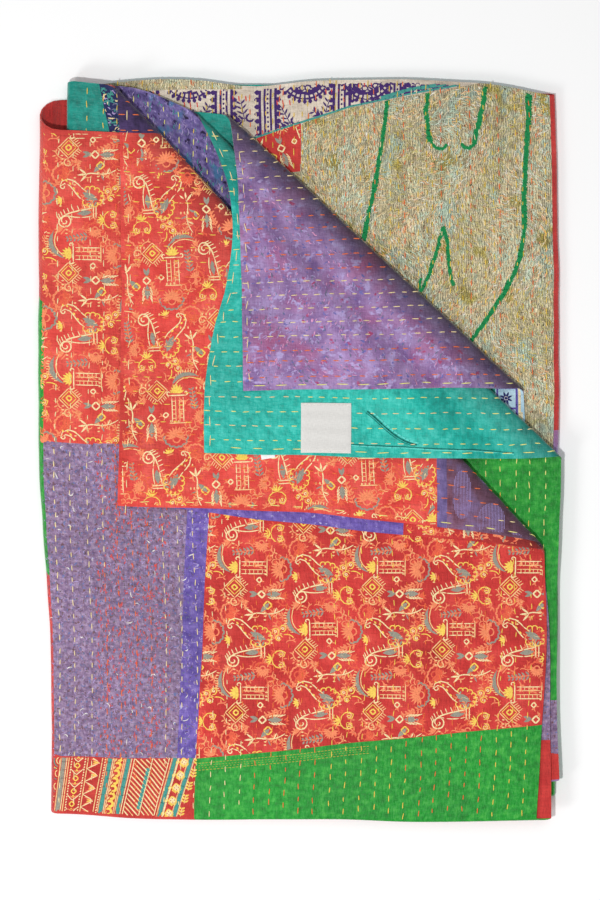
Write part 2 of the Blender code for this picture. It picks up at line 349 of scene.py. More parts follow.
def rumple(p):
    """Moves folded points, in mm, by waves and creases that grow with their height in the pile."""
    x, y, z = p[..., 0], p[..., 1], p[..., 2]
    share = z / height(11)
    lift = 1.3 * wander(x / 46, y / 46, 7) + 0.75 * wander(x / 15, y / 15, 8)
    for (x0, y0), (x1, y1), width, depth in CREASES:
        length = math.hypot(x1 - x0, y1 - y0)
        t = ((x - x0) * (x1 - x0) + (y - y0) * (y1 - y0)) / length**2
        off = ((x - x0) * (y1 - y0) - (y - y0) * (x1 - x0)) / length + 3 * np.sin(t * 5)
        ends = np.exp(-np.maximum(np.abs(t - 0.5) - 0.3, 0) ** 2 * 12)
        lift = lift + depth * np.exp(-((off / width) ** 2)) * ends
    shift_x = 1.1 * wander(y / 23, x / 90, 9) + 0.5 * wander(y / 9, x / 60, 10)
    shift_y = 1.0 * wander(x / 23, y / 90, 11) + 0.5 * wander(x / 9, y / 60, 12)
    return np.stack([x + shift_x * 0.8, y + shift_y * 0.8, z + lift * share], -1)


def settled(p):
    """Folded and rumpled points in metres, with the middle of the pile over the origin."""
    return (rumple(p) - MIDDLE) / 1000


MIDDLE = np.zeros(3)
print("relief:", RIPPLE, "mm between the rows and", len(CREASES), "creases")


def looks_up(ply, face):
    """Whether a face of a flat ply looks up. Every other ply lies on its front."""
    return (ply in ("P0", "P2", "P4", "P6")) == (face == "front")


def on_face(ply, face, x, y, proud=0.0):
    """Points on a face of the cloth, in metres, from flat points: the middle place, moved out along the
    surface's normal by half the thickness, the ripple there and what stands proud of it."""
    x, y = np.asarray(x, float), np.asarray(y, float)
    step = 0.4
    p = middle_place(ply, x, y)
    du = middle_place(ply, x + step, y) - p
    dv = middle_place(ply, x, y + step) - p
    normal = np.cross(du, dv)
    normal /= np.linalg.norm(normal, axis=-1, keepdims=True)
    u, v = flat_to_chart(ply, x, y)
    inside = (u > 0) & (u < 1)
    out = THICKNESS / 2 + np.where(inside, ripple(u, v), 0) + proud
    sign = 1 if looks_up(ply, face) else -1
    return settled(p + normal * (sign * out)[..., None])

# %% [markdown]
# ## The patches
# Each face of the cloth is patched together. A seam is a straight line across one ply, and the sheet is
# divided along it, so that every patch ends in a clean edge and can have a finish of its own.

# %% Seams and patches
def seen_line(ply, a, b):
    """A seam given as it shows on a turned part, carried back onto the flat ply."""
    x, y = unfold(ply, np.array([a[0], b[0]], float), np.array([a[1], b[1]], float))
    return (x[0], y[0]), (x[1], y[1])


SEAMS = {
    "P0": {
        "red_foot": ((-230, 8), (-80, 4)),
        "purple_side": ((-78, -50), (-90, -264)),
        "strip_side": ((-97, -50), (-106, -264)),
        "green_top": ((-90, -265), (205, -236)),
        "border_top": ((-215, -263), (-88, -265)),
    },
    "P1": {
        "print_edge": ((-173.5, 318), (-164, 272)),
        "print_end": ((-158, 318), (-148, 272)),
        "triangle_foot": seen_line("P1", (-170, 274), (-110, 271)),
        "band_edge": seen_line("P1", (117.5, 10), (117.5, -70)),
        "woven_edge": seen_line("P1", (126, 10), (126, -70)),
        "purple_foot": ((200, -249), (218, -249)),
    },
    "P2": {
        "green_edge": ((100, 40), (100, -300)),
        "green_foot": ((200, -215), (226, -215)),
        "red_top": ((200, -258), (226, -262)),
    },
    "P3": {"floral_edge": ((167, 60), (167, -60)), "floral_side": ((-60, 320), (-60, 200))},
    "P4": {
        "linen_foot": ((-45, 268), (43, 296)),
        "linen_rise": ((43, 296), (160, 318)),
        "olive_foot": ((-165, 309), (-52, 312)),
        "linen_side": ((-41, 330), (-39, 100)),
        "red_side": ((-1, 284), (2, 100)),
        "strip_edge": ((219.5, 290), (220.5, 15)),
    },
    "P7": {"across": ((-230, 40), (230, 60)), "upright": ((-10, -320), (20, 320)),
           "crease_red": ((230, 15), (200, 15)), "crease_plum": ((230, -5), (200, -5))},
}


def left_of(ply, seam, x, y):
    """Positive on the left of a seam, as one walks from its first end to its second."""
    (x0, y0), (x1, y1) = SEAMS[ply][seam]
    return (x1 - x0) * (y - y0) - (y1 - y0) * (x - x0) > 0


def patch_names(ply, face, x, y):
    """The finish at flat points of one face of a ply."""
    def on(seam):
        return left_of(ply, seam, x, y)

    whole = np.full(x.shape, "", object)
    if (ply, face) == ("P0", "front"):
        chosen = np.select(
            [on("red_foot") & (x < -60), (x < -89) & (y < -263.5), ~on("green_top") & (x > -89.5),
             ~on("purple_side") & ~on("strip_side"), ~on("purple_side")],
            ["red_side", "border", "green", "purple", "violet"], "red_main")
        return np.where(y > 6, "red_side", chosen)
    if (ply, face) == ("P0", "back"):
        seen = fold_over(ply, x, y)
        return np.where((beyond("upper", x, y) > 0) & (seen[..., 0] < 91), "violet", "red_plain")
    if (ply, face) == ("P1", "back"):
        low = np.where(y > -249, "purple", "red_plain")
        high = np.where(on("print_edge") & ~on("print_end"), "navy_print", "deep_teal")
        return np.where(x > 150, low, high)
    if (ply, face) == ("P1", "front"):
        seen = fold_over(ply, x, y)
        sx, sy = seen[..., 0], seen[..., 1]
        turned = beyond("upper", x, y) > 0
        return np.select(
            [turned & (sy > 274 - (sx + 170) * 0.05), turned & (sx > 126), turned & (sx > 117.5)],
            ["triangle", "woven", "plain_violet"], "red_flap")
    if (ply, face) == ("P2", "front"):
        side = np.where(y > -215, "green", np.where(y > -260, "purple", "red_plain"))
        return np.where(x < 100, "mottled", side)
    if (ply, face) == ("P2", "back"):
        return whole + "teal"
    if (ply, face) == ("P3", "back"):
        return np.where((x > 167) & (y < 60), "floral", "deep_teal")
    if (ply, face) == ("P3", "front"):
        return whole + "plum"
    if (ply, face) == ("P4", "front"):
        linen = on("linen_foot") & (x <= 43) | on("linen_rise") & (x > 43)
        return np.select(
            [x > 219.8, linen & on("olive_foot") & (x < -52), linen, (x > -40) & (x < 0) & (y > 240)],
            ["red_plain", "jamawar", "linen", "red_plain"], "jamawar")
    if (ply, face) == ("P7", "front"):
        return np.select(
            [(x > 200) & (y > 15), (x > 200) & (y > -5),
             on("across") & on("upright"), on("across"), on("upright")],
            ["red_plain", "plum", "teal", "red_plain", "plum"], "green")
    return whole + {"P7": "red_plain", "P6": "violet", "P5": "teal", "P4": "teal"}.get(ply, "red_plain")


# %% [markdown]
# ## The sheet
# One grid covers the whole cloth: down one half of its width, round the bottom fold and up the other half,
# and along its length ply after ply, round the side folds. The top plies are then divided along their
# folds and seams, every point is carried to its folded place, and the two faces are set off from the middle
# by half the thickness and the ripple. A rim closes the hems.

# %% Divide the sheet
COLUMNS = {"P0": 64, "P1": 64, "P2": 32, "P3": 32, "P4": 32, "P5": 32, "P6": 16, "P7": 16}
ROWS = 96
SIDE_STEPS, BOTTOM_STEPS = 8, 6
AT_BOTTOM = 100  # added to the strip number of the faces round the bottom fold
CLIMB_CUTS = (30, 24, 17, 10, 4, -4.7)  # mm past the upper turn line, over the climb


def ply_grid(ply, across, v):
    """A flat ply as a grid: x, y, z and the cloth coordinates u, v at each column and row."""
    u, v = np.meshgrid(across, v, indexing="ij")
    x, y = chart_to_flat(ply, u, v)
    return np.stack([x, y, np.full_like(x, height(PLIES[ply][0])), u, v], -1)


def side_fold_grid(above, below, v):
    """The fold between two plies: half an ellipse in x and z at each row."""
    side, reach = SIDE_FOLDS[above, below]
    end = float(side == "right")
    first, last = (ply_grid(p, np.array([end]), v)[0] for p in (above, below))
    angle = (np.arange(1, SIDE_STEPS) / SIDE_STEPS * math.pi)[:, None]
    share = ((1 - np.cos(angle)) / 2)[..., None]
    grid = first + (last - first) * share
    outwards = 1 if end else -1
    grid[..., 0] = first[:, 0] + outwards * along(reach, v) * np.sin(angle)
    half = (first[0, 2] - last[0, 2]) / 2
    grid[..., 3] = end + outwards * angle * np.hypot(along(reach, v), half) / math.sqrt(2) / CLOTH_WIDTH
    return grid


def half_grid(plies, v):
    """Every column of one half of the width, and the ply or fold that each strip between two belongs to."""
    strips, names = [], []
    for place, ply in enumerate(plies):
        across = np.linspace(0, 1, COLUMNS[ply] + 1)
        strips.append(ply_grid(ply, across if place % 2 else across[::-1], v))
        names += [ply] * COLUMNS[ply]
        if place < 3:
            strips.append(side_fold_grid(ply, plies[place + 1], v))
            names += ["fold " + ply] * SIDE_STEPS
    return np.concatenate(strips), names


def divided_sheet():
    """The grid as a bmesh in flat places, with u and v on its points and a strip number on its faces."""
    v = np.linspace(0, 1, ROWS + 1)
    outer, names = half_grid(OUTER_HALF, v)
    inner, inner_names = half_grid(INNER_HALF, v)
    angle = (np.arange(1, BOTTOM_STEPS) / BOTTOM_STEPS * math.pi)[None, :, None]
    a, b = outer[:, :1], inner[:, :1]
    turn = (a + b) / 2 + (a - b) / 2 * np.cos(angle)
    turn[..., 1] -= PITCH / 2 * np.sin(angle[..., 0])
    turn[..., 4] = -PITCH / 2 * np.sin(angle[..., 0]) / CLOTH_HEIGHT
    grid = np.concatenate([outer[:, ::-1], turn, inner], axis=1)
    across, down = grid.shape[:2]
    index = np.arange(across * down).reshape(across, down)
    quads = np.stack([index[:-1, :-1], index[:-1, 1:], index[1:, 1:], index[1:, :-1]], -1)
    kinds = list(PLIES) + ["fold " + p for p in PLIES]
    tags = np.empty(quads.shape[:2], int)
    tags[:, :ROWS] = np.array([kinds.index(n) for n in names])[:, None]
    tags[:, ROWS:] = np.array([kinds.index(n) for n in inner_names])[:, None]
    tags[:, ROWS:ROWS + BOTTOM_STEPS] += AT_BOTTOM
    mesh = bpy.data.meshes.new("sheet")
    mesh.from_pydata(grid[..., :3].reshape(-1, 3).tolist(), [], quads.reshape(-1, 4).tolist())
    for name, values in (("u", grid[..., 3]), ("v", grid[..., 4])):
        layer = mesh.attributes.new(name, "FLOAT", "POINT")
        layer.data.foreach_set("value", values.ravel().astype(np.float32))
    mesh.attributes.new("strip", "INT", "FACE").data.foreach_set("value", tags.ravel().astype(np.int32))
    sheet = bmesh.new()
    sheet.from_mesh(mesh)
    bpy.data.meshes.remove(mesh)
    return sheet, kinds


def cut_lines(ply):
    """Every line along which a ply is divided: its seams, and across its fold and its climbs."""
    lines = list(SEAMS.get(ply, {}).values())
    if ply not in TURNED:
        return [(a, (b[0] - a[0], b[1] - a[1])) for a, b in lines]
    lines = [(a, (b[0] - a[0], b[1] - a[1])) for a, b in lines]
    point, normal = line_frame(TURNED[ply])
    tangent = (-normal[1], normal[0])
    radius, inset = fold_shape(ply)
    steps = [math.pi * radius * k / 8 for k in range(9)] + [math.pi * radius + EASE_LENGTH]
    lines += [(point + normal * (d - inset), tangent) for d in steps]
    if ply in ("P2", "P3"):
        q, n = line_frame("upper")
        for d in CLIMB_CUTS:
            a, b = seen_line(ply, q + n * d, q + n * d + np.array([-n[1], n[0]]) * 100)
            lines.append((a, (b[0] - a[0], b[1] - a[1])))
    return lines


sheet, KINDS = divided_sheet()
strip = sheet.faces.layers.int["strip"]
for ply in PLIES:
    for point, (tx, ty) in cut_lines(ply):
        faces = [f for f in sheet.faces if f[strip] == KINDS.index(ply)]
        parts = faces + list({e for f in faces for e in f.edges})
        parts += list({w for f in faces for w in f.verts})
        bmesh.ops.bisect_plane(sheet, geom=parts, dist=0.02, plane_co=(*point, 0), plane_no=(-ty, tx, 0))
bmesh.ops.triangulate(sheet, faces=[f for f in sheet.faces if len(f.verts) > 4])
print("the middle surface has", len(sheet.faces), "faces")

# %% Carry it to its folded place
sheet.verts.index_update()
flat = np.array([w.co[:] for w in sheet.verts])
u_layer, v_layer = sheet.verts.layers.float["u"], sheet.verts.layers.float["v"]
cloth_uv = np.array([(w[u_layer], w[v_layer]) for w in sheet.verts])
polygons = [[w.index for w in f.verts] for f in sheet.faces]
tags = np.array([f[strip] for f in sheet.faces])
rim = np.array([[w.index for w in e.verts] for e in sheet.edges if e.is_boundary])
rim_next = {(l.vert.index, l.link_loop_next.vert.index)
            for e in sheet.edges if e.is_boundary for l in e.link_loops}
sheet.free()
placed = flat.copy()
ply_of = np.full(len(flat), -1)
for number, ply in enumerate(PLIES):
    on_ply = np.unique(np.concatenate([polygons[k] for k in np.flatnonzero(tags == number)]))
    ply_of[on_ply] = number
    placed[on_ply] = fold_over(ply, flat[on_ply, 0], flat[on_ply, 1])


def point_normals(points, polygons):
    """The mean of the normals of the faces round each point, weighted by their areas."""
    total = np.zeros_like(points)
    for size in (3, 4):
        faces = np.array([p for p in polygons if len(p) == size])
        if not len(faces):
            continue
        a, b, c, d = (points[faces[:, k]] for k in (0, 1, 2, size - 1))
        normals = np.cross(c - a, d - b) if size == 4 else np.cross(b - a, c - a)
        for k in range(size):
            np.add.at(total, faces[:, k], normals)
    return total / np.linalg.norm(total, axis=1, keepdims=True)


normals = point_normals(placed, polygons)
if normals[ply_of == 0][:, 2].mean() < 0:
    polygons = [p[::-1] for p in polygons]
    rim_next = {(b, a) for a, b in rim_next}
    normals = -normals
MIDDLE = np.array([*((placed.max(0) + placed.min(0)) / 2)[:2], 0])
offset = THICKNESS / 2 + np.where(ply_of >= 0, ripple(*cloth_uv.T), 0)
table_side = np.where(ply_of == list(PLIES).index("P7"), THICKNESS / 2, offset)  # the lowest face lies flat
front = settled(placed + normals * table_side[:, None])
back = settled(placed - normals * offset[:, None])
print("placed", len(placed), "points; the middle of the pile was at", MIDDLE.round(2))

# %% [markdown]
# ## Finishes
# Every patch is the same kind of cloth, a plain weave pulled in by the stitching, so one function makes all
# its materials: a mottled ground of two or three tones, the threads of the weave, slubs, and a bump for the
# puckers between the stitches. It reads the cloth coordinates, so the weave turns with each turned corner.

# %% A cloth material
class Nodes:
    """A short way to write shader arithmetic: each call adds a node and gives back its output."""

    def __init__(self, name):
        self.material = bpy.data.materials.new(name)
        self.material.use_nodes = True
        self.tree = self.material.node_tree
        self.shader = self.tree.nodes["Principled BSDF"]

    def add(self, kind, values=(), output=0, **settings):
        node = self.tree.nodes.new("ShaderNode" + kind)
        for key, value in settings.items():
            setattr(node, key, value)
        for socket, value in dict(values).items():
            if isinstance(value, bpy.types.NodeSocket):
                self.tree.links.new(value, node.inputs[socket])
            else:
                node.inputs[socket].default_value = value
        return node.outputs[output]

    def math(self, operation, *values):
        return self.add("Math", enumerate(values), operation=operation)

    def mapped(self, vector, scale, turn=0.0):
        return self.add("Mapping", {"Vector": vector, "Scale": scale, "Rotation": (0, 0, turn)})

    def noise(self, vector, scale, detail=3.0, roughness=0.55):
        values = {"Vector": vector, "Scale": scale, "Detail": detail, "Roughness": roughness}
        return self.add("TexNoise", values)

    def ramp(self, value, stops):
        out = self.add("ValToRGB", {0: value})
        elements = out.node.color_ramp.elements
        elements[0].position, elements[0].color = stops[0][0], (*stops[0][1], 1)
        elements[1].position, elements[1].color = stops[-1][0], (*stops[-1][1], 1)
        for place, colour in stops[1:-1]:
            elements.new(place).color = (*colour, 1)
        return out

    def mix(self, blend, factor, a, b):
        node = self.tree.nodes.new("ShaderNodeMix")
        node.data_type, node.blend_type = "RGBA", blend
        for key, value in ((0, factor), (6, a), (7, b)):
            if isinstance(value, bpy.types.NodeSocket):
                self.tree.links.new(value, node.inputs[key])
            else:
                node.inputs[key].default_value = (*value, 1) if isinstance(value, tuple) else value
        return node.outputs[2]

    def set(self, socket, value):
        if isinstance(value, bpy.types.NodeSocket):
            self.tree.links.new(value, self.shader.inputs[socket])
        else:
            self.shader.inputs[socket].default_value = value


def rgb(red, green, blue):
    """A colour as painters' 0 to 255 values, made linear."""
    return tuple((c / 255 / 12.92) if c < 10 else ((c / 255 + 0.055) / 1.055) ** 2.4
                 for c in (red, green, blue))


def pucker_height(n, cloth):
    """The bump of the quilting, 0 to 1: the mean of two noises, uneven dimples in step with the stitches and
    small folds that cross them."""
    rows = n.mapped(cloth, (430, 150, 1))
    folds = n.noise(rows, 1.0, 2.0)
    crimp = n.noise(n.mapped(cloth, (120, 330, 1)), 1.0, 2.0)
    return n.math("ADD", n.math("MULTIPLY", folds, 0.5), n.math("MULTIPLY", crimp, 0.5))


def cloth_material(name, tones, rough=0.8, sheen=0.25, thread=0.12, mottle=38.0, pucker=0.8, slub=0.1,
                   speckles=(), whorls=0.0, fold=0.35, spread=0.6):
    """tones are stops from dark to light over the mottling. speckles are (scale, from, to, colour): spots
    where a noise passes a level. whorls is how strongly rows of fine embroidery show, and fold how much
    painted shade darkens the cloth at its fold line, where the cloth curves away from the light."""
    n = Nodes(name)
    cloth = n.add("UVMap", uv_map="cloth")
    mottling = n.noise(cloth, mottle, 5.0, spread)
    colour = n.ramp(mottling, tones)
    for scale, low, high, tint in speckles:
        spots = n.ramp(n.noise(n.mapped(cloth, (scale, scale * 0.8, 1)), 1.0, 2.0),
                       ((low, (0, 0, 0)), (high, (1, 1, 1))))
        colour = n.mix("MIX", spots, colour, tint)
    relief = pucker_height(n, cloth)
    if whorls:
        rows = n.add("TexWave", {"Scale": 150.0, "Distortion": 13.0, "Detail": 3.0, "Detail Scale": 0.55,
                                 "Vector": cloth}, output="Fac", bands_direction="X")
        groove = n.ramp(rows, ((0.1, (1 - whorls,) * 3), (0.55, (1, 1, 1)), (0.9, (1 + whorls * 0.5,) * 3)))
        colour = n.mix("MULTIPLY", 1.0, colour, groove)
        relief = n.math("ADD", relief, n.math("MULTIPLY", rows, 0.3))
    streaks = n.noise(n.mapped(cloth, (1500, 60, 1)), 1.0, 2.0)
    cross_streaks = n.noise(n.mapped(cloth, (60, 1500, 1)), 1.0, 2.0)
    weave = n.math("MULTIPLY", n.math("ADD", streaks, cross_streaks), 0.5)
    shade = n.ramp(weave, ((0.32, (1 - thread * 2,) * 3), (0.5, (1, 1, 1)), (0.68, (1 + thread,) * 3)))
    colour = n.mix("MULTIPLY", 1.0, colour, shade)
    wear = n.ramp(n.noise(cloth, 9.0, 3.0), ((0.35, (0.82, 0.82, 0.82)), (0.65, (1.08, 1.08, 1.08))))
    colour = n.mix("MULTIPLY", 1.0, colour, wear)
    # painted shade: the colour is darkened towards the fold lines of the turned corners, by the fold
    # attribute
    painted_shade_near_fold = n.add("Attribute", output="Fac", attribute_name="fold")
    colour = n.mix("MULTIPLY", 1.0, colour, n.math("SUBTRACT", 1.0, n.math("MULTIPLY", painted_shade_near_fold, fold)))
    n.set("Base Color", colour)
    n.set("Roughness", n.math("ADD", rough - slub / 2, n.math("MULTIPLY", weave, slub)))
    n.set("Sheen Weight", sheen)
    n.set("Sheen Roughness", 0.5)
    n.set("Specular IOR Level", 0.3)
    coarse = n.add("Bump", {"Strength": pucker, "Distance": 0.0035, "Height": relief})
    fine = n.add("Bump", {"Strength": 0.35, "Distance": 0.0006, "Height": weave, "Normal": coarse})
    n.set("Normal", fine)
    return n.material


def shades(*colours):
    """Colours from dark to light as stops, evenly spaced over the middle of a noise."""
    places = np.linspace(0.3, 0.7, len(colours)).tolist()
    return [(place, rgb(*colour)) for place, colour in zip(places, colours)]


# each finish's fold setting is how strongly painted shade darkens it towards a fold line
SILK = {"mottle": 120.0, "rough": 0.48, "sheen": 0.3, "thread": 0.08, "pucker": 0.45, "fold": 0.6}
FINISHES = {
    "red_main": (shades((184, 40, 38), (204, 54, 50), (222, 76, 68)), {}),
    "red_side": (shades((204, 56, 50), (222, 74, 64), (238, 100, 86)), {}),
    "red_flap": (shades((202, 54, 46), (220, 70, 62), (236, 98, 86)), {"fold": 0.62}),
    "red_plain": (shades((186, 40, 40), (216, 66, 60)), {"fold": 0.6}),
    "purple": ([(0.32, rgb(112, 88, 124)), (0.5, rgb(144, 118, 152)), (0.68, rgb(176, 154, 184))],
               {"mottle": 230.0, "thread": 0.16, "pucker": 1.0, "speckles": (
                   (300, 0.6, 0.66, rgb(120, 84, 92)), (340, 0.61, 0.66, rgb(104, 116, 170)),
                   (420, 0.66, 0.7, rgb(98, 96, 84)))}),
    "violet": (shades((84, 66, 144), (108, 88, 170), (140, 120, 194)),
               {"mottle": 130.0, "speckles": ((230, 0.64, 0.7, rgb(176, 170, 216)),)}),
    "green": (shades((0, 118, 22), (0, 147, 36), (64, 174, 60)),
              {"mottle": 150.0, "rough": 0.5, "sheen": 0.3, "thread": 0.08, "pucker": 0.45}),
    "teal": (shades((0, 148, 134), (8, 178, 162), (64, 198, 184)), SILK),
    "deep_teal": (shades((0, 116, 104), (2, 142, 128), (22, 164, 148)), SILK),
    "plain_violet": (shades((86, 70, 122), (134, 114, 168)), {"mottle": 90.0, "fold": 0.6}),
    "plum": (shades((110, 78, 140), (150, 116, 168), (172, 146, 198)),
             {"mottle": 48.0, "rough": 0.5, "sheen": 0.5, "fold": 0.92, "pucker": 0.6, "speckles": (
                 (24, 0.5, 0.7, rgb(164, 88, 136)), (120, 0.58, 0.66, rgb(176, 156, 208)),
                 (190, 0.63, 0.68, rgb(104, 100, 172)), (150, 0.64, 0.7, rgb(170, 62, 112)))}),
    "mottled": ([(0.3, rgb(66, 56, 104)), (0.5, rgb(102, 88, 146)), (0.72, rgb(152, 136, 184))],
                {"mottle": 170.0, "fold": 0.7, "speckles": (
                    (160, 0.6, 0.66, rgb(34, 24, 60)), (60, 0.56, 0.66, rgb(66, 108, 150)),
                    (240, 0.65, 0.69, rgb(160, 146, 200)))}),
    "triangle": (shades((38, 24, 62), (84, 62, 116)), {"mottle": 120.0}),
    "woven": ([(0.35, rgb(112, 64, 84)), (0.5, rgb(128, 86, 112)), (0.65, rgb(138, 108, 152))],
              {"mottle": 60.0, "thread": 0.2, "fold": 0.65}),
    "linen": (shades((192, 176, 158), (214, 200, 182), (230, 218, 204)), {"thread": 0.2}),
    "jamawar": ([(0.3, rgb(180, 164, 116)), (0.42, rgb(216, 202, 156)), (0.52, rgb(236, 222, 182)),
                 (0.62, rgb(206, 216, 180)), (0.72, rgb(236, 226, 196))],
                {"mottle": 90.0, "thread": 0.18, "pucker": 1.3, "whorls": 0.22, "spread": 0.7, "speckles": (
                    (240, 0.6, 0.66, rgb(232, 166, 116)), (34, 0.56, 0.66, rgb(198, 218, 194)),
                    (44, 0.6, 0.68, rgb(190, 172, 84)), (420, 0.64, 0.68, rgb(110, 98, 60)))}),
    "border": (shades((186, 42, 40), (216, 72, 62)), {}),
    "navy_print": (shades((24, 28, 74), (44, 52, 108)), {}),
    "floral": (shades((150, 190, 214), (190, 216, 228)), {}),
}
MATERIALS = {name: cloth_material(name, tones, **settings) for name, (tones, settings) in FINISHES.items()}
print("made", len(MATERIALS), "cloths")

# %% Build the two faces of the quilt
PAINTED_SHADE_REACH = 24.0  # mm from a fold line over which the painted shade on the cloth fades


def painted_fold_shades():
    """How much painted shade each point of a turned corner gets, by how near it is to its fold line, 0 to 1:
    exp(-(d / PAINTED_SHADE_REACH)^1.6).
    """
    depth = np.zeros(len(placed))
    for ply, line in TURNED.items():
        number = KINDS.index(ply)
        mine = np.unique(np.concatenate([p for p, t in zip(polygons, tags) if t % AT_BOTTOM == number]))
        d = beyond(line, flat[mine, 0], flat[mine, 1])
        depth[mine] = np.where(d > 0, np.exp(-(np.maximum(d, 0) / PAINTED_SHADE_REACH) ** 1.6), 0)
    return depth


painted_fold_shade = painted_fold_shades()


def quilt_mesh():
    """The two faces back to back, and the rim between their edges."""
    count = len(placed)
    points = np.concatenate([front, back])
    faces = polygons + [[k + count for k in p[::-1]] for p in polygons]
    edges = [(a, b) if (a, b) in rim_next else (b, a) for a, b in rim.tolist()]
    faces += [[b, a, a + count, b + count] for a, b in edges]
    mesh = bpy.data.meshes.new("quilt_cloth")
    mesh.from_pydata(points.tolist(), [], faces)
    uv = np.tile(cloth_uv * (CLOTH_WIDTH / 1000, CLOTH_HEIGHT / 1000), (2, 1))
    loops = np.empty(len(mesh.loops), int)
    mesh.loops.foreach_get("vertex_index", loops)
    mesh.uv_layers.new(name="cloth").data.foreach_set("uv", uv[loops].ravel().astype(np.float32))
    # the fold attribute is the painted shade towards the fold lines of the turned corners
    depth = np.tile(painted_fold_shade, 2)
    mesh.attributes.new("fold", "FLOAT", "POINT").data.foreach_set("value", depth.astype(np.float32))
    return mesh, edges


BELOW_OF = {"P1": "P0", "P6": "P7", "P5": "P4", "P2": "P3"}  # plies joined round the bottom fold


def face_finishes(edges):
    """The finish of every face, by its ply and its place there. A fold goes with the ply it leads from."""
    middles = np.array([flat[p].mean(axis=0) for p in polygons])
    names = {"front": np.full(len(polygons), "", object), "back": np.full(len(polygons), "", object)}
    for number, kind in enumerate(KINDS):
        for bottom in (0, AT_BOTTOM):
            mine = tags == number + bottom
            ply = kind.split()[-1]
            ply = BELOW_OF.get(ply, ply) if bottom else ply
            for face in names:
                if mine.any():
                    names[face][mine] = patch_names(ply, face, *middles[mine, :2].T)
    roll = tags == KINDS.index("fold P0")
    _, y, z = middles[roll].T
    outside = np.where(y > 129, "red_side", np.where(y > -108, "green", "red_plain"))
    upper = np.where(y > 6, "red_side", np.where(y > -263, "purple", "border"))
    names["front"][roll] = np.where(z > height(6.0), upper, outside)
    owner = {w: k for k, p in enumerate(polygons) for w in p}
    rim_names = [names["front"][owner[a]] for a, _ in edges]
    return np.concatenate([names["front"], names["back"], rim_names])


mesh, rim_edges = quilt_mesh()
order = list(MATERIALS)
for name in order:
    mesh.materials.append(MATERIALS[name])
slots = np.array([order.index(n) for n in face_finishes(rim_edges)], np.int32)
mesh.polygons.foreach_set("material_index", slots)
mesh.shade_smooth()
mesh.set_sharp_from_angle(angle=math.radians(75))
quilt = bpy.data.objects.new("quilt_cloth", mesh)
scene.collection.objects.link(quilt)
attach(quilt, "root")
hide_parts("quilt")
print("the quilt has", sum(len(p.vertices) - 2 for p in mesh.polygons), "triangles")

# %% [markdown]
# ## Strokes on the cloth
# The prints and the embroidery are drawn as strokes. A stroke is a short curve with a width at each of its
# stations, and it becomes a low ridge of thread or paint that follows the cloth round every fold. One
# motif is a list of strokes, drawn once in millimetres and repeated over its patch.

# %% Strokes
STATIONS = 7  # along each stroke


def stroke(points, width, colour, ends="round"):
    """A curve through the points, sampled evenly, with its width shaped: full and round, or a leaf."""
    points = np.array(points, float)
    steps = np.concatenate([[0], np.cumsum(np.hypot(*np.diff(points, axis=0).T))])
    t = np.linspace(0, steps[-1], STATIONS)
    xy = np.stack([np.interp(t, steps, points[:, k]) for k in range(2)], -1)
    s = np.linspace(0, 1, STATIONS)
    shape = np.sin(np.pi * s) if ends == "leaf" else np.minimum(1, 0.45 + 4 * np.minimum(s, 1 - s))
    return xy, width * shape, colour


def arc(x, y, radius, start, end, radius_end=None):
    """Points on a circle or a spiral about x, y, from one angle to another, in degrees."""
    angle = np.radians(np.linspace(start, end, 13))
    r = np.linspace(radius, radius if radius_end is None else radius_end, 13)
    return np.stack([x + r * np.cos(angle), y + r * np.sin(angle)], -1)


def bend(*controls):
    """A curve pulled towards its controls: the Bezier sum of C(n, k) t^k (1 - t)^(n - k) times each."""
    t = np.linspace(0, 1, 13)[:, None]
    n = len(controls) - 1
    shares = [math.comb(n, k) * t**k * (1 - t) ** (n - k) for k in range(n + 1)]
    return sum(share * np.array(c, float) for share, c in zip(shares, controls))


def leaf(x, y, angle, length, width, colour):
    """A pointed leaf from x, y."""
    a = math.radians(angle)
    return stroke([(x, y), (x + length * math.cos(a), y + length * math.sin(a))], width, colour, "leaf")


def diamond(x, y, size, width, colour):
    """A square on its corner."""
    c = [(x + size, y), (x, y + size), (x - size, y), (x, y - size), (x + size, y)]
    return [stroke([c[k], c[k + 1]], width, colour) for k in range(4)]


def ribbon(points, width, colour, step=7.0):
    """A long line as short overlapping strokes, so that it can end cleanly at a hem."""
    points = np.array(points, float)
    steps = np.concatenate([[0], np.cumsum(np.hypot(*np.diff(points, axis=0).T))])
    count = max(int(steps[-1] / step), 1)
    ends = np.linspace(0, steps[-1], count + 1)
    pieces = []
    for a, b in zip(ends[:-1], ends[1:]):
        t = np.linspace(a - 0.4, b + 0.4, STATIONS)
        xy = np.stack([np.interp(t, steps, points[:, k]) for k in range(2)], -1)
        pieces.append((xy, np.full(STATIONS, width), colour))
    return pieces


def arrayed(motif):
    """A motif's strokes as three arrays: their points, their widths and their colours."""
    return np.array([m[0] for m in motif]), np.array([m[1] for m in motif]), np.array([m[2] for m in motif])


def repeated(motif, places, turns=0.0, scales=1.0):
    """The motif at every place, turned by an angle in degrees and scaled."""
    xy, widths, colours = arrayed(motif)
    places = np.asarray(places, float)
    turns = np.radians(np.broadcast_to(turns, len(places)))[:, None, None]
    scales = np.broadcast_to(scales, len(places))[:, None, None]
    x, y = xy[None, ..., 0] * scales, xy[None, ..., 1] * scales
    px = x * np.cos(turns) - y * np.sin(turns) + places[:, 0, None, None]
    py = x * np.sin(turns) + y * np.cos(turns) + places[:, 1, None, None]
    points = np.stack([px, py], -1).reshape(-1, STATIONS, 2)
    wide = (widths[None] * scales).reshape(-1, STATIONS)
    return points, wide, np.tile(colours, len(places))


def lattice(x0, x1, y0, y1, dx, dy, half_drop=0.5):
    """Places in columns dx apart and rows dy apart, every other column half dropped."""
    columns = np.arange(x0, x1 + dx, dx)
    rows = np.arange(y0, y1 + dy, dy)
    x, y = np.meshgrid(columns, rows, indexing="ij")
    y = y + dy * half_drop * (np.arange(len(columns)) % 2)[:, None]
    return np.stack([x.ravel(), y.ravel()], -1)


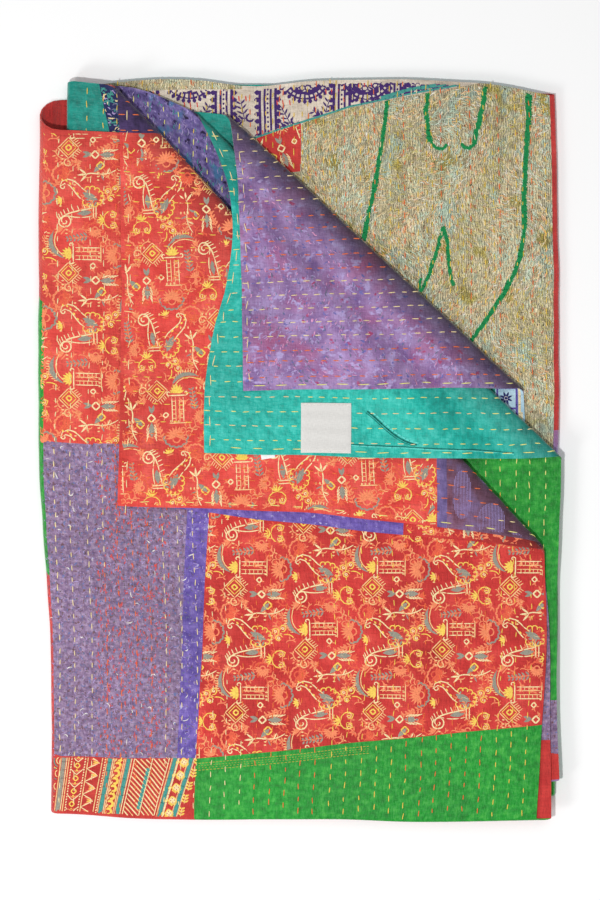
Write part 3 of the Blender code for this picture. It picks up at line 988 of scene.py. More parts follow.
THREADS = {
    "cream": rgb(250, 222, 168), "yellow": rgb(252, 206, 92), "salmon": rgb(244, 138, 96),
    "ash": rgb(150, 146, 132), "orange": rgb(240, 120, 66), "gold": rgb(222, 190, 70),
    "lilac": rgb(172, 152, 200), "slate": rgb(108, 112, 138), "jade": rgb(14, 132, 72),
    "indigo": rgb(66, 38, 104), "sand": rgb(236, 216, 170), "moss": rgb(168, 158, 106),
    "mint": rgb(198, 222, 198), "white": rgb(236, 232, 222), "peach": rgb(250, 200, 138),
    "coral": rgb(230, 96, 68), "apricot": rgb(244, 166, 112), "olive": rgb(206, 196, 128),
    "ember": rgb(214, 74, 62), "taupe": rgb(136, 112, 118), "brown": rgb(92, 72, 84),
    "pink": rgb(216, 150, 190), "sea": rgb(70, 150, 140), "lemon": rgb(248, 236, 142),
    "navy": rgb(40, 42, 100), "deep": rgb(0, 108, 98), "bronze": rgb(186, 168, 70),
    "mauve": rgb(150, 134, 186), "violet": rgb(92, 74, 158), "aqua": rgb(96, 214, 202),
}


def thread_material(name, colour):
    """Dyed thread or paint: fine fibres along the stroke, slightly worn."""
    n = Nodes("thread_" + name)
    place = n.add("TexCoord", output="Object")
    fibre = n.noise(place, 900.0, 3.0)
    tone = n.ramp(fibre, ((0.3, tuple(c * 0.72 for c in colour)),
                          (0.7, tuple(min(1, c * 1.15) for c in colour))))
    n.set("Base Color", tone)
    n.set("Roughness", 0.75)
    n.set("Specular IOR Level", 0.25)
    n.set("Normal", n.add("Bump", {"Strength": 0.3, "Distance": 0.0004, "Height": fibre}))
    return n.material


THREAD_MATERIALS = {name: thread_material(name, colour) for name, colour in THREADS.items()}


EDGE_MARGIN = 0.004  # strokes stop this share of a ply short of its edges


def laid_strokes(name, ply, face, drawn, region, seen=False, rise=0.16, spill=0.0):
    """Lays strokes on a face of a ply as low ridges. region says which flat points may carry them. With
    seen, the strokes are drawn as they show on a turned corner, and carried back onto the flat ply."""
    points, widths, colours = (np.concatenate(k) for k in zip(*drawn))
    along_it = np.gradient(points, axis=1)
    along_it /= np.maximum(np.linalg.norm(along_it, axis=-1, keepdims=True), 1e-6)
    across = np.stack([-along_it[..., 1], along_it[..., 0]], -1) * widths[..., None] / 2
    spots = np.stack([points - across, points, points + across], 2)
    x, y = spots[..., 0], spots[..., 1]
    if seen:
        x, y = unfold(ply, x, y)
    proud = np.broadcast_to(np.array([0.03, rise, 0.03]), x.shape)
    placed_spots = on_face(ply, face, x, y, proud)
    index = np.arange(x.size).reshape(x.shape)
    quads = np.stack([index[:, :-1, :-1], index[:, 1:, :-1], index[:, 1:, 1:], index[:, :-1, 1:]], -1)
    u, v = flat_to_chart(ply, x, y)
    inside = (np.minimum(u + spill, 1 - u) > EDGE_MARGIN) & (v > 0.001) & (1 - v > EDGE_MARGIN)
    keep = region(x, y) & inside
    whole = keep[:, :-1, :-1] & keep[:, 1:, :-1] & keep[:, 1:, 1:] & keep[:, :-1, 1:]
    names = list(dict.fromkeys(colours.tolist()))
    slot = np.array([names.index(c) for c in colours])[:, None, None] + np.zeros(whole.shape, int)
    return mesh_piece(name, placed_spots.reshape(-1, 3), quads[whole], slot[whole],
                      [THREAD_MATERIALS[n] for n in names], upwards=face_sign(ply, face, seen))


def face_sign(ply, face, turned_part):
    """Whether a face of a ply looks up (1) or down (-1) where it lies."""
    return 1 if looks_up(ply, face) != turned_part else -1


def mesh_piece(name, points, quads, slots, materials, upwards=0):
    """A mesh object on the throw from points in metres and quads, with unused points left out."""
    used, quads = np.unique(quads, return_inverse=True)
    quads = quads.reshape(-1, 4)
    points = points[used]
    if upwards:
        a, b, c = (points[quads[:, k]] for k in (0, 1, 2))
        if (np.cross(b - a, c - a)[:, 2].mean() > 0) != (upwards > 0):
            quads = quads[:, ::-1]
    mesh = bpy.data.meshes.new(name)
    mesh.from_pydata(points.tolist(), [], quads.tolist())
    for material in materials:
        mesh.materials.append(material)
    mesh.polygons.foreach_set("material_index", np.asarray(slots, np.int32))
    mesh.shade_smooth()
    piece = bpy.data.objects.new(name, mesh)
    scene.collection.objects.link(piece)
    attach(piece, "root")
    print(name, "has", 2 * len(quads), "triangles")
    return piece


# %% [markdown]
# ## The running stitch
# The stitches are what makes a kantha. Each is one turn of three-ply thread that comes up through all the
# layers and goes down again, about as long as the gap to the next. No two are quite alike, and the rows
# drift a little, because they were sewn by hand and by eye.

# %% Running stitches
STITCH_PITCH, STITCH_LENGTH, STITCH_WIDTH = 11.3, 5.6, 0.85


def stitch_rows(rows, v_from, v_to, rng, pitch=STITCH_PITCH, length=STITCH_LENGTH):
    """Ends of stitches in cloth coordinates, along rows that run up the ply."""
    count = int((v_to - v_from) * CLOTH_HEIGHT / pitch)
    k = np.arange(count) + rng.uniform(0, 1, (len(rows), 1))
    start = k * pitch + rng.normal(0, 0.7, k.shape)
    end = start + length * rng.uniform(0.78, 1.18, k.shape)
    drift = rng.normal(0, 0.45, (len(rows), 1)) + np.cumsum(rng.normal(0, 0.13, k.shape), 1)
    u0 = np.asarray(rows)[:, None] / STITCH_ROWS + drift / CLOTH_WIDTH
    u1 = u0 + rng.normal(0, 0.35, k.shape) / CLOTH_WIDTH
    return np.stack([u0, v_from + start / CLOTH_HEIGHT, u1, v_from + end / CLOTH_HEIGHT], -1).reshape(-1, 4)


def hem_stitches(v, u_from, u_to, rng, pitch=19.0, length=9.5):
    """Longer stitches that hold the turned hem, in a row across the ply."""
    start = np.arange(u_from * CLOTH_WIDTH, u_to * CLOTH_WIDTH, pitch)
    start = start + rng.normal(0, 1.5, len(start))
    end = start + length * rng.uniform(0.8, 1.15, len(start))
    v0 = v + rng.normal(0, 0.5, len(start)) / CLOTH_HEIGHT
    v1 = v + rng.normal(0, 0.8, len(start)) / CLOTH_HEIGHT
    return np.stack([start / CLOTH_WIDTH, v0, end / CLOTH_WIDTH, v1], -1)


def sewn(name, ply, face, ends, wanted, colour_of):
    """Stitches as small arched rounds of thread, sunk into the cloth at both ends."""
    u = ends[:, [0]] + (ends[:, [2]] - ends[:, [0]]) * np.linspace(0, 1, 5)
    v = ends[:, [1]] + (ends[:, [3]] - ends[:, [1]]) * np.linspace(0, 1, 5)
    x, y = chart_to_flat(ply, u, v)
    middle = middle_place(ply, x[:, 2], y[:, 2])
    keep = wanted(x[:, 2], y[:, 2], middle)
    x, y, middle = x[keep], y[keep], middle[keep]
    run = np.stack([np.gradient(x, axis=1), np.gradient(y, axis=1)], -1)
    run /= np.linalg.norm(run, axis=-1, keepdims=True)
    full = np.array([0.45, 0.95, 1.0, 0.95, 0.45])
    turn = np.radians([0, 60, 120, 180, 240, 300])
    side = STITCH_WIDTH / 2 * full[:, None] * np.cos(turn)
    proud = np.array([-0.25, 0.1, 0.2, 0.1, -0.25])[:, None] + 0.42 * full[:, None] * np.sin(turn)
    sx = x[..., None] - run[..., 1, None] * side
    sy = y[..., None] + run[..., 0, None] * side
    points = on_face(ply, face, sx, sy, np.broadcast_to(proud, sx.shape))
    index = np.arange(sx.size).reshape(sx.shape)
    right, up = np.roll(index, -1, axis=2), index[:, 1:]
    quads = np.stack([index[:, :-1], right[:, :-1], right[:, 1:], up], -1).reshape(len(x), -1, 4)
    caps = np.stack([index[:, 0, k] for k in ([0, 1, 2, 3], [0, 3, 4, 5])]
                    + [index[:, -1, k] for k in ([3, 2, 1, 0], [5, 4, 3, 0])], 1)
    tone = colour_of(x[:, 2], y[:, 2], middle)
    names = list(dict.fromkeys(tone.tolist()))
    number = np.array([names.index(t) for t in tone])
    every = np.concatenate([quads, caps], axis=1)
    slots = np.repeat(number, every.shape[1])
    return mesh_piece(name, points.reshape(-1, 3), every.reshape(-1, 4), slots,
                      [THREAD_MATERIALS[n] for n in names])


def bands(values, edges, names):
    """A name for each value, by the band between edges that it falls in."""
    return np.array(names, object)[np.searchsorted(edges, values)]


def all_of(colour):
    """Every stitch in one colour."""
    return lambda x, y, p: np.full(len(x), colour, object)


rng = np.random.default_rng(21)
all_rows = np.arange(1, STITCH_ROWS)
sewn("stitches_top", "P0", "front",
     stitch_rows(np.arange(0, STITCH_ROWS), 0.0, 0.99, rng),
     lambda x, y, p: (beyond("upper", x, y) < -8) & ((x < -158) | (y < -38 - (x + 160) * 0.095)),
     lambda x, y, p: bands(x, (-168, -122, -50, 18, 90, 163),
                           ("cream", "orange", "cream", "orange", "yellow", "orange", "yellow")))
sewn("stitches_upper_corner", "P1", "front", stitch_rows(all_rows, 0.3, 1.0, rng),
     lambda x, y, p: (beyond("upper", x, y) > -2) & ((p[:, 0] < -75) | (p[:, 1] < 8)
                                                     | (beyond("middle", p[:, 0], p[:, 1]) > 0)),
     lambda x, y, p: bands(p[:, 1], (-58, 20, 90, 160, 240),
                           ("cream", "orange", "yellow", "orange", "yellow", "orange")))
sewn("stitches_middle_corner", "P2", "back", stitch_rows(all_rows, 0.3, 1.0, rng),
     lambda x, y, p: (beyond("middle", x, y) > -2) & ((p[:, 1] < 56) | (p[:, 0] < -45)),
     lambda x, y, p: bands(np.mod(x, 23), (15,), ("lemon", "cream")))
sewn("stitches_lower_corner", "P3", "front", stitch_rows(all_rows, 0.3, 1.0, rng),
     lambda x, y, p: beyond("lower", x, y) > -2,
     lambda x, y, p: bands(p[:, 1], (62, 96, 150, 205), ("orange", "orange", "cream", "orange", "cream")))
sewn("stitches_third_ply", "P2", "front", stitch_rows(all_rows, 0.0, 1.0, rng),
     lambda x, y, p: (beyond("middle", x, y) < -2) & (((x > 95) & (y < 10))
                                                      | ((y > 190) & (beyond("upper", x, y) > -6))),
     lambda x, y, p: bands(np.mod(y, 31), (24,), ("lemon", "yellow")))
sewn("stitches_fifth_ply", "P4", "front", stitch_rows(np.arange(1, STITCH_ROWS * 2) / 2, 0.3, 1.0, rng),
     lambda x, y, p: (beyond("lower", x, y) > -6) | (y > 278),
     lambda x, y, p: bands(np.mod(x, 27), (7, 14, 20), ("gold", "orange", "sand", "yellow")))
sewn("stitches_second_ply", "P1", "back", stitch_rows(all_rows, 0.0, 1.0, rng),
     lambda x, y, p: (beyond("upper", x, y) < -3) & (((x < -155) & (y > 262)) | (x > 203)),
     lambda x, y, p: bands(x, (0,), ("yellow", "cream")))
for name, ply, face, level, span in (
    ("hem_top_ply", "P0", "front", 0.99, (0.03, 0.3)),
    ("hem_upper_corner", "P1", "front", 0.988, (0.06, 0.99)),
    ("hem_lower_corner", "P3", "front", 0.992, (0.3, 0.99)),
    ("hem_middle_corner", "P2", "back", 0.992, (0.3, 0.99)),
):
    sewn(name, ply, face, hem_stitches(level, *span, rng),
         lambda x, y, p, ply=ply: (beyond(TURNED[ply], x, y) > 2)
         | (ply == "P0") & (beyond("upper", x, y) < -8), all_of("cream"))
for name, ply, face in (("edge_upper_corner", "P1", "front"), ("edge_middle_corner", "P2", "back"),
                        ("edge_lower_corner", "P3", "front")):
    sewn(name, ply, face, stitch_rows(np.array([STITCH_ROWS - 0.4]), 0.3, 1.0, rng, 19.0, 9.5),
         lambda x, y, p, ply=ply: beyond(TURNED[ply], x, y) > 2, all_of("lemon"))

# %% [markdown]
# ## The block print on the red cotton
# The red patches come from one printed sari: combed paisleys like the crook of a cane, flame-edged
# mangoes, lotus fans on pedestals, hooked diamonds and sprigs, packed with hardly any ground between them.
# Each motif is a short list of strokes, and together they make one repeat.

# %% Motifs of the red print
def moved(motif, x, y, turn=0.0, scale=1.0, flip=1):
    """The strokes of a motif at x, y, turned by degrees, scaled, and mirrored when flip is -1."""
    c, s = math.cos(math.radians(turn)) * scale, math.sin(math.radians(turn)) * scale
    matrix = np.array([[c * flip, -s], [s * flip, c]])
    return [(xy @ matrix.T + (x, y), width, colour) for xy, width, colour in motif]


def combed_cane(line, inner):
    """A paisley drawn as a cane: a curled crook, a back with comb teeth, and a wedge in its shaft."""
    back = bend((-9.4, 8), (-9, 17.5), (3, 16), (3.4, 3), (7, -15))
    strokes = [stroke(back[:7], 1.3, line), stroke(back[6:], 1.3, line),
               stroke(arc(-4, 8.4, 5.4, 180, 330, 4.4), 1.3, line),
               stroke(arc(-4, 8.4, 4.4, 330, 480, 2.8), 1.2, line),
               stroke(arc(-4.2, 8.2, 2.7, 120, 330, 0.8), 1.2, line),
               stroke(bend((1, 8), (-2.6, -3), (0.4, -15)), 1.0, line),
               leaf(3.6, -14.6, 97, 13, 5.4, inner)]
    strokes += [stroke([(x + 0.5, y), (x + 4.4, y + 1.7)], 0.85, line) for x, y in back[4:]]
    return strokes + [stroke([(-1.6, y), (9, y)], 0.95, line) for y in (-15.8, -18.4)]


def twin_mangos(line, inner):
    """Two nested drops side by side under a sprout."""
    strokes = [leaf(0, 7, a, 6.4, 1.6, line) for a in (35, 62, 90, 118, 145)]
    for side in (1, -1):
        strokes += [stroke(bend((0.4, 7), (side * 11, 8), (side * 10, -9), (side * 1, -7), (side * 1.6, 1)),
                           1.1, line),
                    stroke(arc(side * 4.6, -0.6, 2.0, 60, 400), 1.0, inner),
                    leaf(side * 4.6, -2.2, 90, 3.4, 1.4, line)]
    return strokes


def combed_diamond(line, core):
    """Diamonds one in the other, combed below, with a curl at one side."""
    strokes = diamond(0, 0, 9, 1.0, line) + diamond(0, 0, 6.4, 0.8, core) + diamond(0, 0, 2.6, 1.5, core)
    for side in (1, -1):
        strokes += [stroke([(side * (1.4 + 1.5 * k), -8.6 + 1.5 * k),
                            (side * (3.4 + 1.5 * k), -11.4 + 1.4 * k)], 0.75, line)
                    for k in range(5)]
    return strokes + [stroke(arc(-12.4, 0.4, 3.2, 0, 230), 1.1, line),
                      stroke(arc(-12.6, 0.4, 2.2, 210, 420, 0.7), 1.0, line)]


def trefoil(line, core):
    """Three curls on one stalk."""
    strokes = [stroke(bend((0, -9), (3, -5), (0, 0)), 1.0, line)]
    for x, y, start in ((-4, 3, 300), (0.6, 7.6, 240), (5, 2.6, 180)):
        strokes += [stroke(arc(x, y, 3.3, start, start + 330, 2.2), 1.1, line),
                    stroke(arc(x, y, 1.0, 0, 350), 1.1, core)]
    return strokes


def fringed_leaf(line, core):
    """A small diamond between two short leaves and one long fringed leaf."""
    strokes = diamond(0, 0, 3.4, 1.5, line) + [leaf(0.6, 3.6, a, 7.6, 3.0, core) for a in (112, 76)]
    strokes += [leaf(0, -3.8, -90, 13, 5.6, core), stroke([(0, -5), (0, -15)], 0.7, line)]
    for side in (1, -1):
        strokes += [stroke(bend((side * 2.2, -5.4 - 2.3 * k), (side * 3.6, -7.6 - 2.3 * k),
                                (side * 4.4, -10.6 - 2.3 * k)), 0.8, line) for k in range(5)]
    return strokes


def wing(core, line):
    """A bent leaf with one toothed side."""
    spine = bend((-13, -4), (-5, 6), (4, 5), (13, -2))
    strokes = [stroke(spine, 4.2, core, "leaf"), stroke(spine + (0, -3), 0.9, line)]
    return strokes + [stroke([(x, y + 1.6), (x + 1.0, y + 4.0)], 0.9, line) for x, y in spine[2:-1]]


def lotus(petal, line, posts):
    """Petals over a scrolled bar that stands on tall posts."""
    strokes = [leaf(0, 3.4, a, 9 - abs(a - 90) / 28, 2.6, petal) for a in (22, 46, 68, 90, 112, 134, 158)]
    strokes += [stroke([(-7, 1.6), (7, 1.6)], 1.2, line), stroke([(-7.6, -22), (7.6, -22)], 1.0, posts)]
    for side in (1, -1):
        strokes += [stroke(arc(side * 7.2, 3.6, 2.2, 270, 270 + side * 250, 0.8), 1.1, line),
                    stroke([(side * 5.0, 0), (side * 5.0, -21)], 1.0, line),
                    stroke([(side * 1.7, 0), (side * 1.7, -21)], 0.8, posts)]
        strokes += [stroke([(side * 1.9, -3.4 - 3.6 * k), (side * 4.6, -3.4 - 3.6 * k)], 0.7, posts)
                    for k in range(5)]
    return strokes


def scalloped_mango(edge, core, line):
    """A long bent drop with a beaded neck, a curled tail and a scalloped body."""
    neck = bend((-4.4, 4), (-2, 13), (9, 16), (11.4, 23), (5, 26.6))
    outer = bend((3.6, 3), (5, 10), (14, 13), (16.6, 22), (10, 29), (4.6, 27))
    strokes = [stroke(neck, 1.1, line), stroke(outer, 1.1, line),
               stroke(arc(5.4, 24.2, 2.4, 90, 330, 0.9), 1.1, line), leaf(2.6, 7, -108, 15, 6.2, core),
               leaf(0.6, 1.6, -100, 7, 1.4, line)]
    strokes += [leaf(x + 1.9, y + 0.6, 50, 3.0, 1.7, edge) for x, y in neck[2:11:2]]
    for k in range(9):
        a = math.radians(150 + 30 * k)
        x, y = 6.6 * math.cos(a), 8.2 * math.sin(a) - 1
        strokes.append(stroke(arc(x, y, 2.5, 150 + 30 * k - 110, 150 + 30 * k + 110), 1.05, edge))
    return strokes


def sprout(line, tone):
    """A three-pronged shoot on a bent stem, with a leaf beside it."""
    stem = bend((0, 0), (3, -8), (-6, -14), (2, -28))
    return [leaf(0, -1, a, 8.4, 1.9, line) for a in (48, 90, 132)] + [
        stroke(stem[:7], 1.2, line), stroke(stem[6:], 1.0, line), leaf(1, -7, -50, 11, 4.8, tone),
        stroke([(1.6, -7.6), (6.6, -14)], 0.7, line),
        leaf(-1.4, -13, 200, 6, 1.4, tone), leaf(-1.6, -18, 330, 6, 1.4, line)]


def palmette(petal, rim):
    """An open flower of thin petals with small scales round its foot."""
    strokes = [leaf(0, 0, a, 9.6 if a % 40 else 7.4, 2.0, petal) for a in range(-10, 200, 20)]
    for facing in range(185, 354, 28):
        x, y = 8.4 * math.cos(math.radians(facing)), 7.2 * math.sin(math.radians(facing))
        strokes.append(stroke(arc(x, y, 2.0, facing - 80, facing + 80), 1.5, rim))
    return strokes + [stroke(arc(0, -1.4, 3.2, 180, 360), 1.2, petal)]


def spray(stem, leaves, count=6):
    """A stem between slanting pairs of small leaves."""
    strokes = [stroke([(0, 0), (0.6, 3.4 * count)], 0.7, stem)]
    for k in range(count):
        strokes += [leaf(0.2, 1.4 + 3.3 * k, a, 5.0 - 0.35 * k, 1.6, leaves) for a in (38, 142)]
    return strokes


def fan(petal, foot):
    """A small fan over a bar."""
    petals = [leaf(0, 0, a, 5.4, 1.9, petal) for a in (30, 60, 90, 120, 150)]
    return petals + [stroke([(-3, -1), (3, -1)], 1.2, foot)]


REPEAT = (54, 118)  # mm, across and up


def set_out(*motifs):
    """Motifs moved to their places, as one list. Each is strokes, x, y, and perhaps a turn and a scale."""
    return [one for strokes, *place in motifs for one in moved(strokes, *place)]


def red_repeat():
    """One repeat: the pale figures, and the salmon ones that fill the ground behind them."""
    art = set_out(
        (combed_cane("cream", "ash"), 13, 101),
        (twin_mangos("yellow", "peach"), 10, 69),
        (combed_diamond("peach", "yellow"), 18, 48),
        (trefoil("yellow", "cream"), 31, 66, -20),
        (fringed_leaf("cream", "ash"), 12, 25),
        (diamond(0, 0, 3.6, 1.4, "yellow"), 2.6, 20),
        (wing("ash", "peach"), 42, 58, 14),
        (lotus("yellow", "cream", "peach"), 35, 42),
        (scalloped_mango("yellow", "ash", "cream"), 30, 88, -8),
        (sprout("cream", "ash"), 49, 92, 6),
        (fan("yellow", "salmon"), 27, 112, 15),
        (diamond(0, 0, 2.4, 1.2, "cream"), 24.5, 27),
    )
    ground = set_out(
        (palmette("salmon", "ash"), 33, 8),
        (spray("salmon", "ash"), 50, 30, 8),
        (spray("salmon", "salmon"), 22, 4, 20),
        (spray("coral", "salmon", 7), 3, 36, -12),
        (spray("salmon", "coral", 6), 26, 92, 120),
        (fan("salmon", "salmon"), 1, 112, -40, 1.2),
        (palmette("coral", "salmon"), 50, 112, 160, 0.8),
        (spray("coral", "salmon", 6), 40, 70, 60),
        (fan("coral", "salmon"), 10, 8, 160, 1.2),
        (palmette("salmon", "coral"), 1, 84, 80, 0.7),
        (spray("salmon", "ash", 5), 20, 84, -60),
        (trefoil("salmon", "coral"), 46, 14, 100, 0.9),
    )
    for x, y in ((24, 75), (40, 100), (5, 52), (29, 20), (52, 48), (22, 112), (44, 80)):
        art += [leaf(x + dx, y, 90, 2.6, 1.5, "peach") for dx in (0, 3.2, 6.4)]
    for x, y in ((7, 40), (36, 28), (50, 74), (18, 16), (40, 116), (1, 64), (47, 66)):
        ground += moved([leaf(0, 0, a, 4.6, 1.3, "salmon") for a in (0, 50, 100, 150, 200)], x, y, x * 7)
    rng = np.random.default_rng(9)
    for x, y, turn in zip(rng.uniform(0, REPEAT[0], 46), rng.uniform(0, REPEAT[1], 46),
                          rng.uniform(0, 360, 46)):
        tone = rng.choice(["salmon", "coral", "salmon", "apricot"])
        ground += moved([stroke(bend((-4, 0), (-1, 3), (2, -3), (5, 0)), 0.9, tone),
                         leaf(0, 0.6, 70, 3.4, 1.2, tone),
                         leaf(2, -0.8, -60, 3.2, 1.2, tone)], x, y, turn)
    slim = 0.88  # block lines print a little finer than they are cut
    return [(xy, width * slim, colour) for xy, width, colour in art], ground


def all_over(motif, box, turn, shift=(0, 0)):
    """A repeat laid half-dropped over a box of x0, x1, y0, y1, the whole print turned by an angle."""
    reach = max(map(abs, box)) * 1.5
    places = lattice(-reach, reach, -reach, reach, *REPEAT)
    c, t = math.cos(math.radians(turn)), math.sin(math.radians(turn))
    x = places[:, 0] * c - places[:, 1] * t + shift[0]
    y = places[:, 0] * t + places[:, 1] * c + shift[1]
    near = (x > box[0] - 110) & (x < box[1] + 110) & (y > box[2] - 110) & (y < box[3] + 110)
    return repeated(motif, np.stack([x, y], -1)[near], turn)


def jitter(strokes, amount, seed):
    """A hand-printed shake: every stroke of every repeat shifts a little."""
    points, widths, colours = strokes
    shake = np.random.default_rng(seed).normal(0, amount, (len(points), 1, 2))
    return points + shake, widths, colours


def everywhere(x, y):
    """No limit to where strokes may lie."""
    return np.ones(np.shape(x), bool)


def within(ply, face, finishes, also=everywhere):
    """A test for flat points: on a patch of one of these finishes, and where also holds."""
    def test(x, y):
        return np.isin(patch_names(ply, face, x, y), finishes) & also(x, y)
    return test


RED, RED_GROUND = red_repeat()
print("one repeat of the red print has", len(RED), "strokes over", len(RED_GROUND), "in its ground")


def shown_top(x, y):
    """What the turned corner leaves to be seen of the top ply."""
    return (beyond("upper", x, y) < -7) & ((x < -150) | (y < -38 - (x + 160) * 0.09))


def shown_side(x, y):
    """As shown_top, but right of x = -150 only above the foot of the side patch."""
    return shown_top(x, y) & ((y > 6) | (x < -150))


for part, drawn, rise in (("ground", RED_GROUND, 0.05), ("figures", RED, 0.11)):
    laid_strokes("print_main_" + part, "P0", "front",
                 [jitter(all_over(drawn, (-90, 230, -270, 0), 90), 0.13, 1)],
                 within("P0", "front", ["red_main"], shown_top), rise=rise)
    laid_strokes("print_side_" + part, "P0", "front",
                 [jitter(all_over(drawn, (-240, -130, 6, 285), 90, (11, 22)), 0.13, 2)],
                 within("P0", "front", ["red_side"], shown_side), rise=rise, spill=0.036)
    laid_strokes("print_corner_" + part, "P1", "front",
                 [jitter(all_over(drawn, (-170, 118, -62, 275), 2, (3, 7)), 0.13, 3)],
                 within("P1", "front", ["red_flap"], lambda x, y: beyond("upper", x, y) > 3), seen=True,
                 rise=rise)
    laid_strokes("print_hem_" + part, "P0", "back",
                 [jitter(all_over(drawn, (90, 215, -95, -60), 2, (20, 0)), 0.13, 4)],
                 within("P0", "back", ["red_plain"], lambda x, y: beyond("upper", x, y) > 3), seen=True,
                 rise=rise)

# %% [markdown]
# ## The other cloths
# The purple and mottled silks are flecked with short woven threads. The green has two lines of gold at its
# seam, the old border of a sari. The foot of the throw is a strip of border print, with slanting bands,
# hatching, scallops and zigzags.

# %% Flecks, borders and gold
ZONE_SIZE = 15.0  # mm, of the waves that share out the three colour lists


def flecks(count, box, colours, seed, length=2.6, width=0.7, turn=None):
    """Short bent strokes, scattered over a box. turn gives their direction in degrees at a place. colours is
    one list, or three lists for zones that drift over the cloth."""
    rng = np.random.default_rng(seed)
    x = rng.uniform(box[0], box[1], count)
    y = rng.uniform(box[2], box[3], count)
    if turn is None:
        a = rng.uniform(0, 2 * math.pi, count)
    else:
        a = np.radians(turn(x, y) + rng.normal(0, 14, count))
    bend_by = rng.uniform(-1.6, 1.6, count)
    t = np.array([-0.5, -0.17, 0.17, 0.5])
    size = length * rng.uniform(0.5, 1.4, count)
    angle = a[:, None] + bend_by[:, None] * t
    px = x[:, None] + size[:, None] * t * np.cos(angle)
    py = y[:, None] + size[:, None] * t * np.sin(angle)
    wide = width * rng.uniform(0.6, 1.3, (count, 1)) * np.array([0.3, 1.0, 0.9, 0.3])
    zone = np.digitize(wander(x / ZONE_SIZE, y / ZONE_SIZE, 44), (-0.16, 0.16))
    chosen = rng.integers(0, 60, count)  # 60 is a multiple of the length of every colour list
    tones = [np.array(colours if isinstance(colours[0], str) else colours[k]) for k in range(3)]
    return np.stack([px, py], -1), wide, np.select([zone == k for k in range(3)],
                                                   [t[chosen % len(t)] for t in tones])


def upright(x, y):
    """90 degrees everywhere."""
    return 90.0


def whorl(x, y):
    """Directions that turn slowly over the cloth: 90 degrees plus up to 150 by waves of about 100 mm."""
    return 90 + 150 * wander(x / 19, y / 19, 14)


laid_strokes("flecks_purple", "P0", "front",
             [flecks(3400, (-232, -80, -264, 6), ["lilac", "slate", "brown", "slate", "lilac", "taupe"], 31,
                     2.4, 0.6),
              flecks(190, (-232, -80, -264, 6), ["lilac", "lilac", "white"], 35, 4.4, 0.7),
              flecks(420, (-176, -112, -264, 6), ["ember"], 32, 3.4, 0.9, upright),
              flecks(300, (-176, -112, -264, 6), ["ember"], 36, 2.4, 0.8)],
             within("P0", "front", ["purple", "violet"], shown_top), rise=0.1, spill=0.03)
laid_strokes("flecks_corner", "P3", "front",
             [flecks(2600, (-70, 190, 50, 290), ["lilac", "slate", "pink", "lilac"], 33, 3.4, 0.8, whorl),
              flecks(300, (-70, 190, 50, 290), ["lilac"], 37, 5.0, 1.6)],
             within("P3", "front", ["plum"], lambda x, y: beyond("lower", x, y) > 26), seen=True, rise=0.08)
laid_strokes("flecks_mottled", "P2", "front",
             [flecks(900, (-165, -50, 190, 320), ["lilac", "slate", "sea", "indigo", "slate"], 34, 4.4, 0.7,
                     upright)],
             within("P2", "front", ["mottled"], lambda x, y: beyond("middle", x, y) < -4), rise=0.1)


def row_of_dashes(x0, y0, x1, y1, pitch, length, width, colour):
    """Evenly spaced dashes from one point to another."""
    count = int(math.hypot(x1 - x0, y1 - y0) / pitch)
    dx, dy = (x1 - x0) / count, (y1 - y0) / count
    share = length / pitch
    return [stroke([(x0 + dx * k, y0 + dy * k), (x0 + dx * (k + share), y0 + dy * (k + share))],
                   width, colour) for k in range(count)]


def gold_border():
    """Two lines of gold thread below the green's seam, with finer ones between them."""
    art = []
    for drop, pitch, length, width in ((4.0, 3.0, 2.2, 0.5), (6.2, 2.6, 1.4, 0.35), (8.0, 3.0, 1.4, 0.35),
                                       (10.0, 3.2, 2.2, 0.5)):
        art += row_of_dashes(-88, -265 - drop, 60, -250.5 - drop, pitch, length, width, "bronze")
    return art


laid_strokes("gold_border", "P0", "front", [arrayed(gold_border())], within("P0", "front", ["green"]),
             rise=0.12)


BORDER_HEAD, BORDER_FOOT = -262.0, -324.0


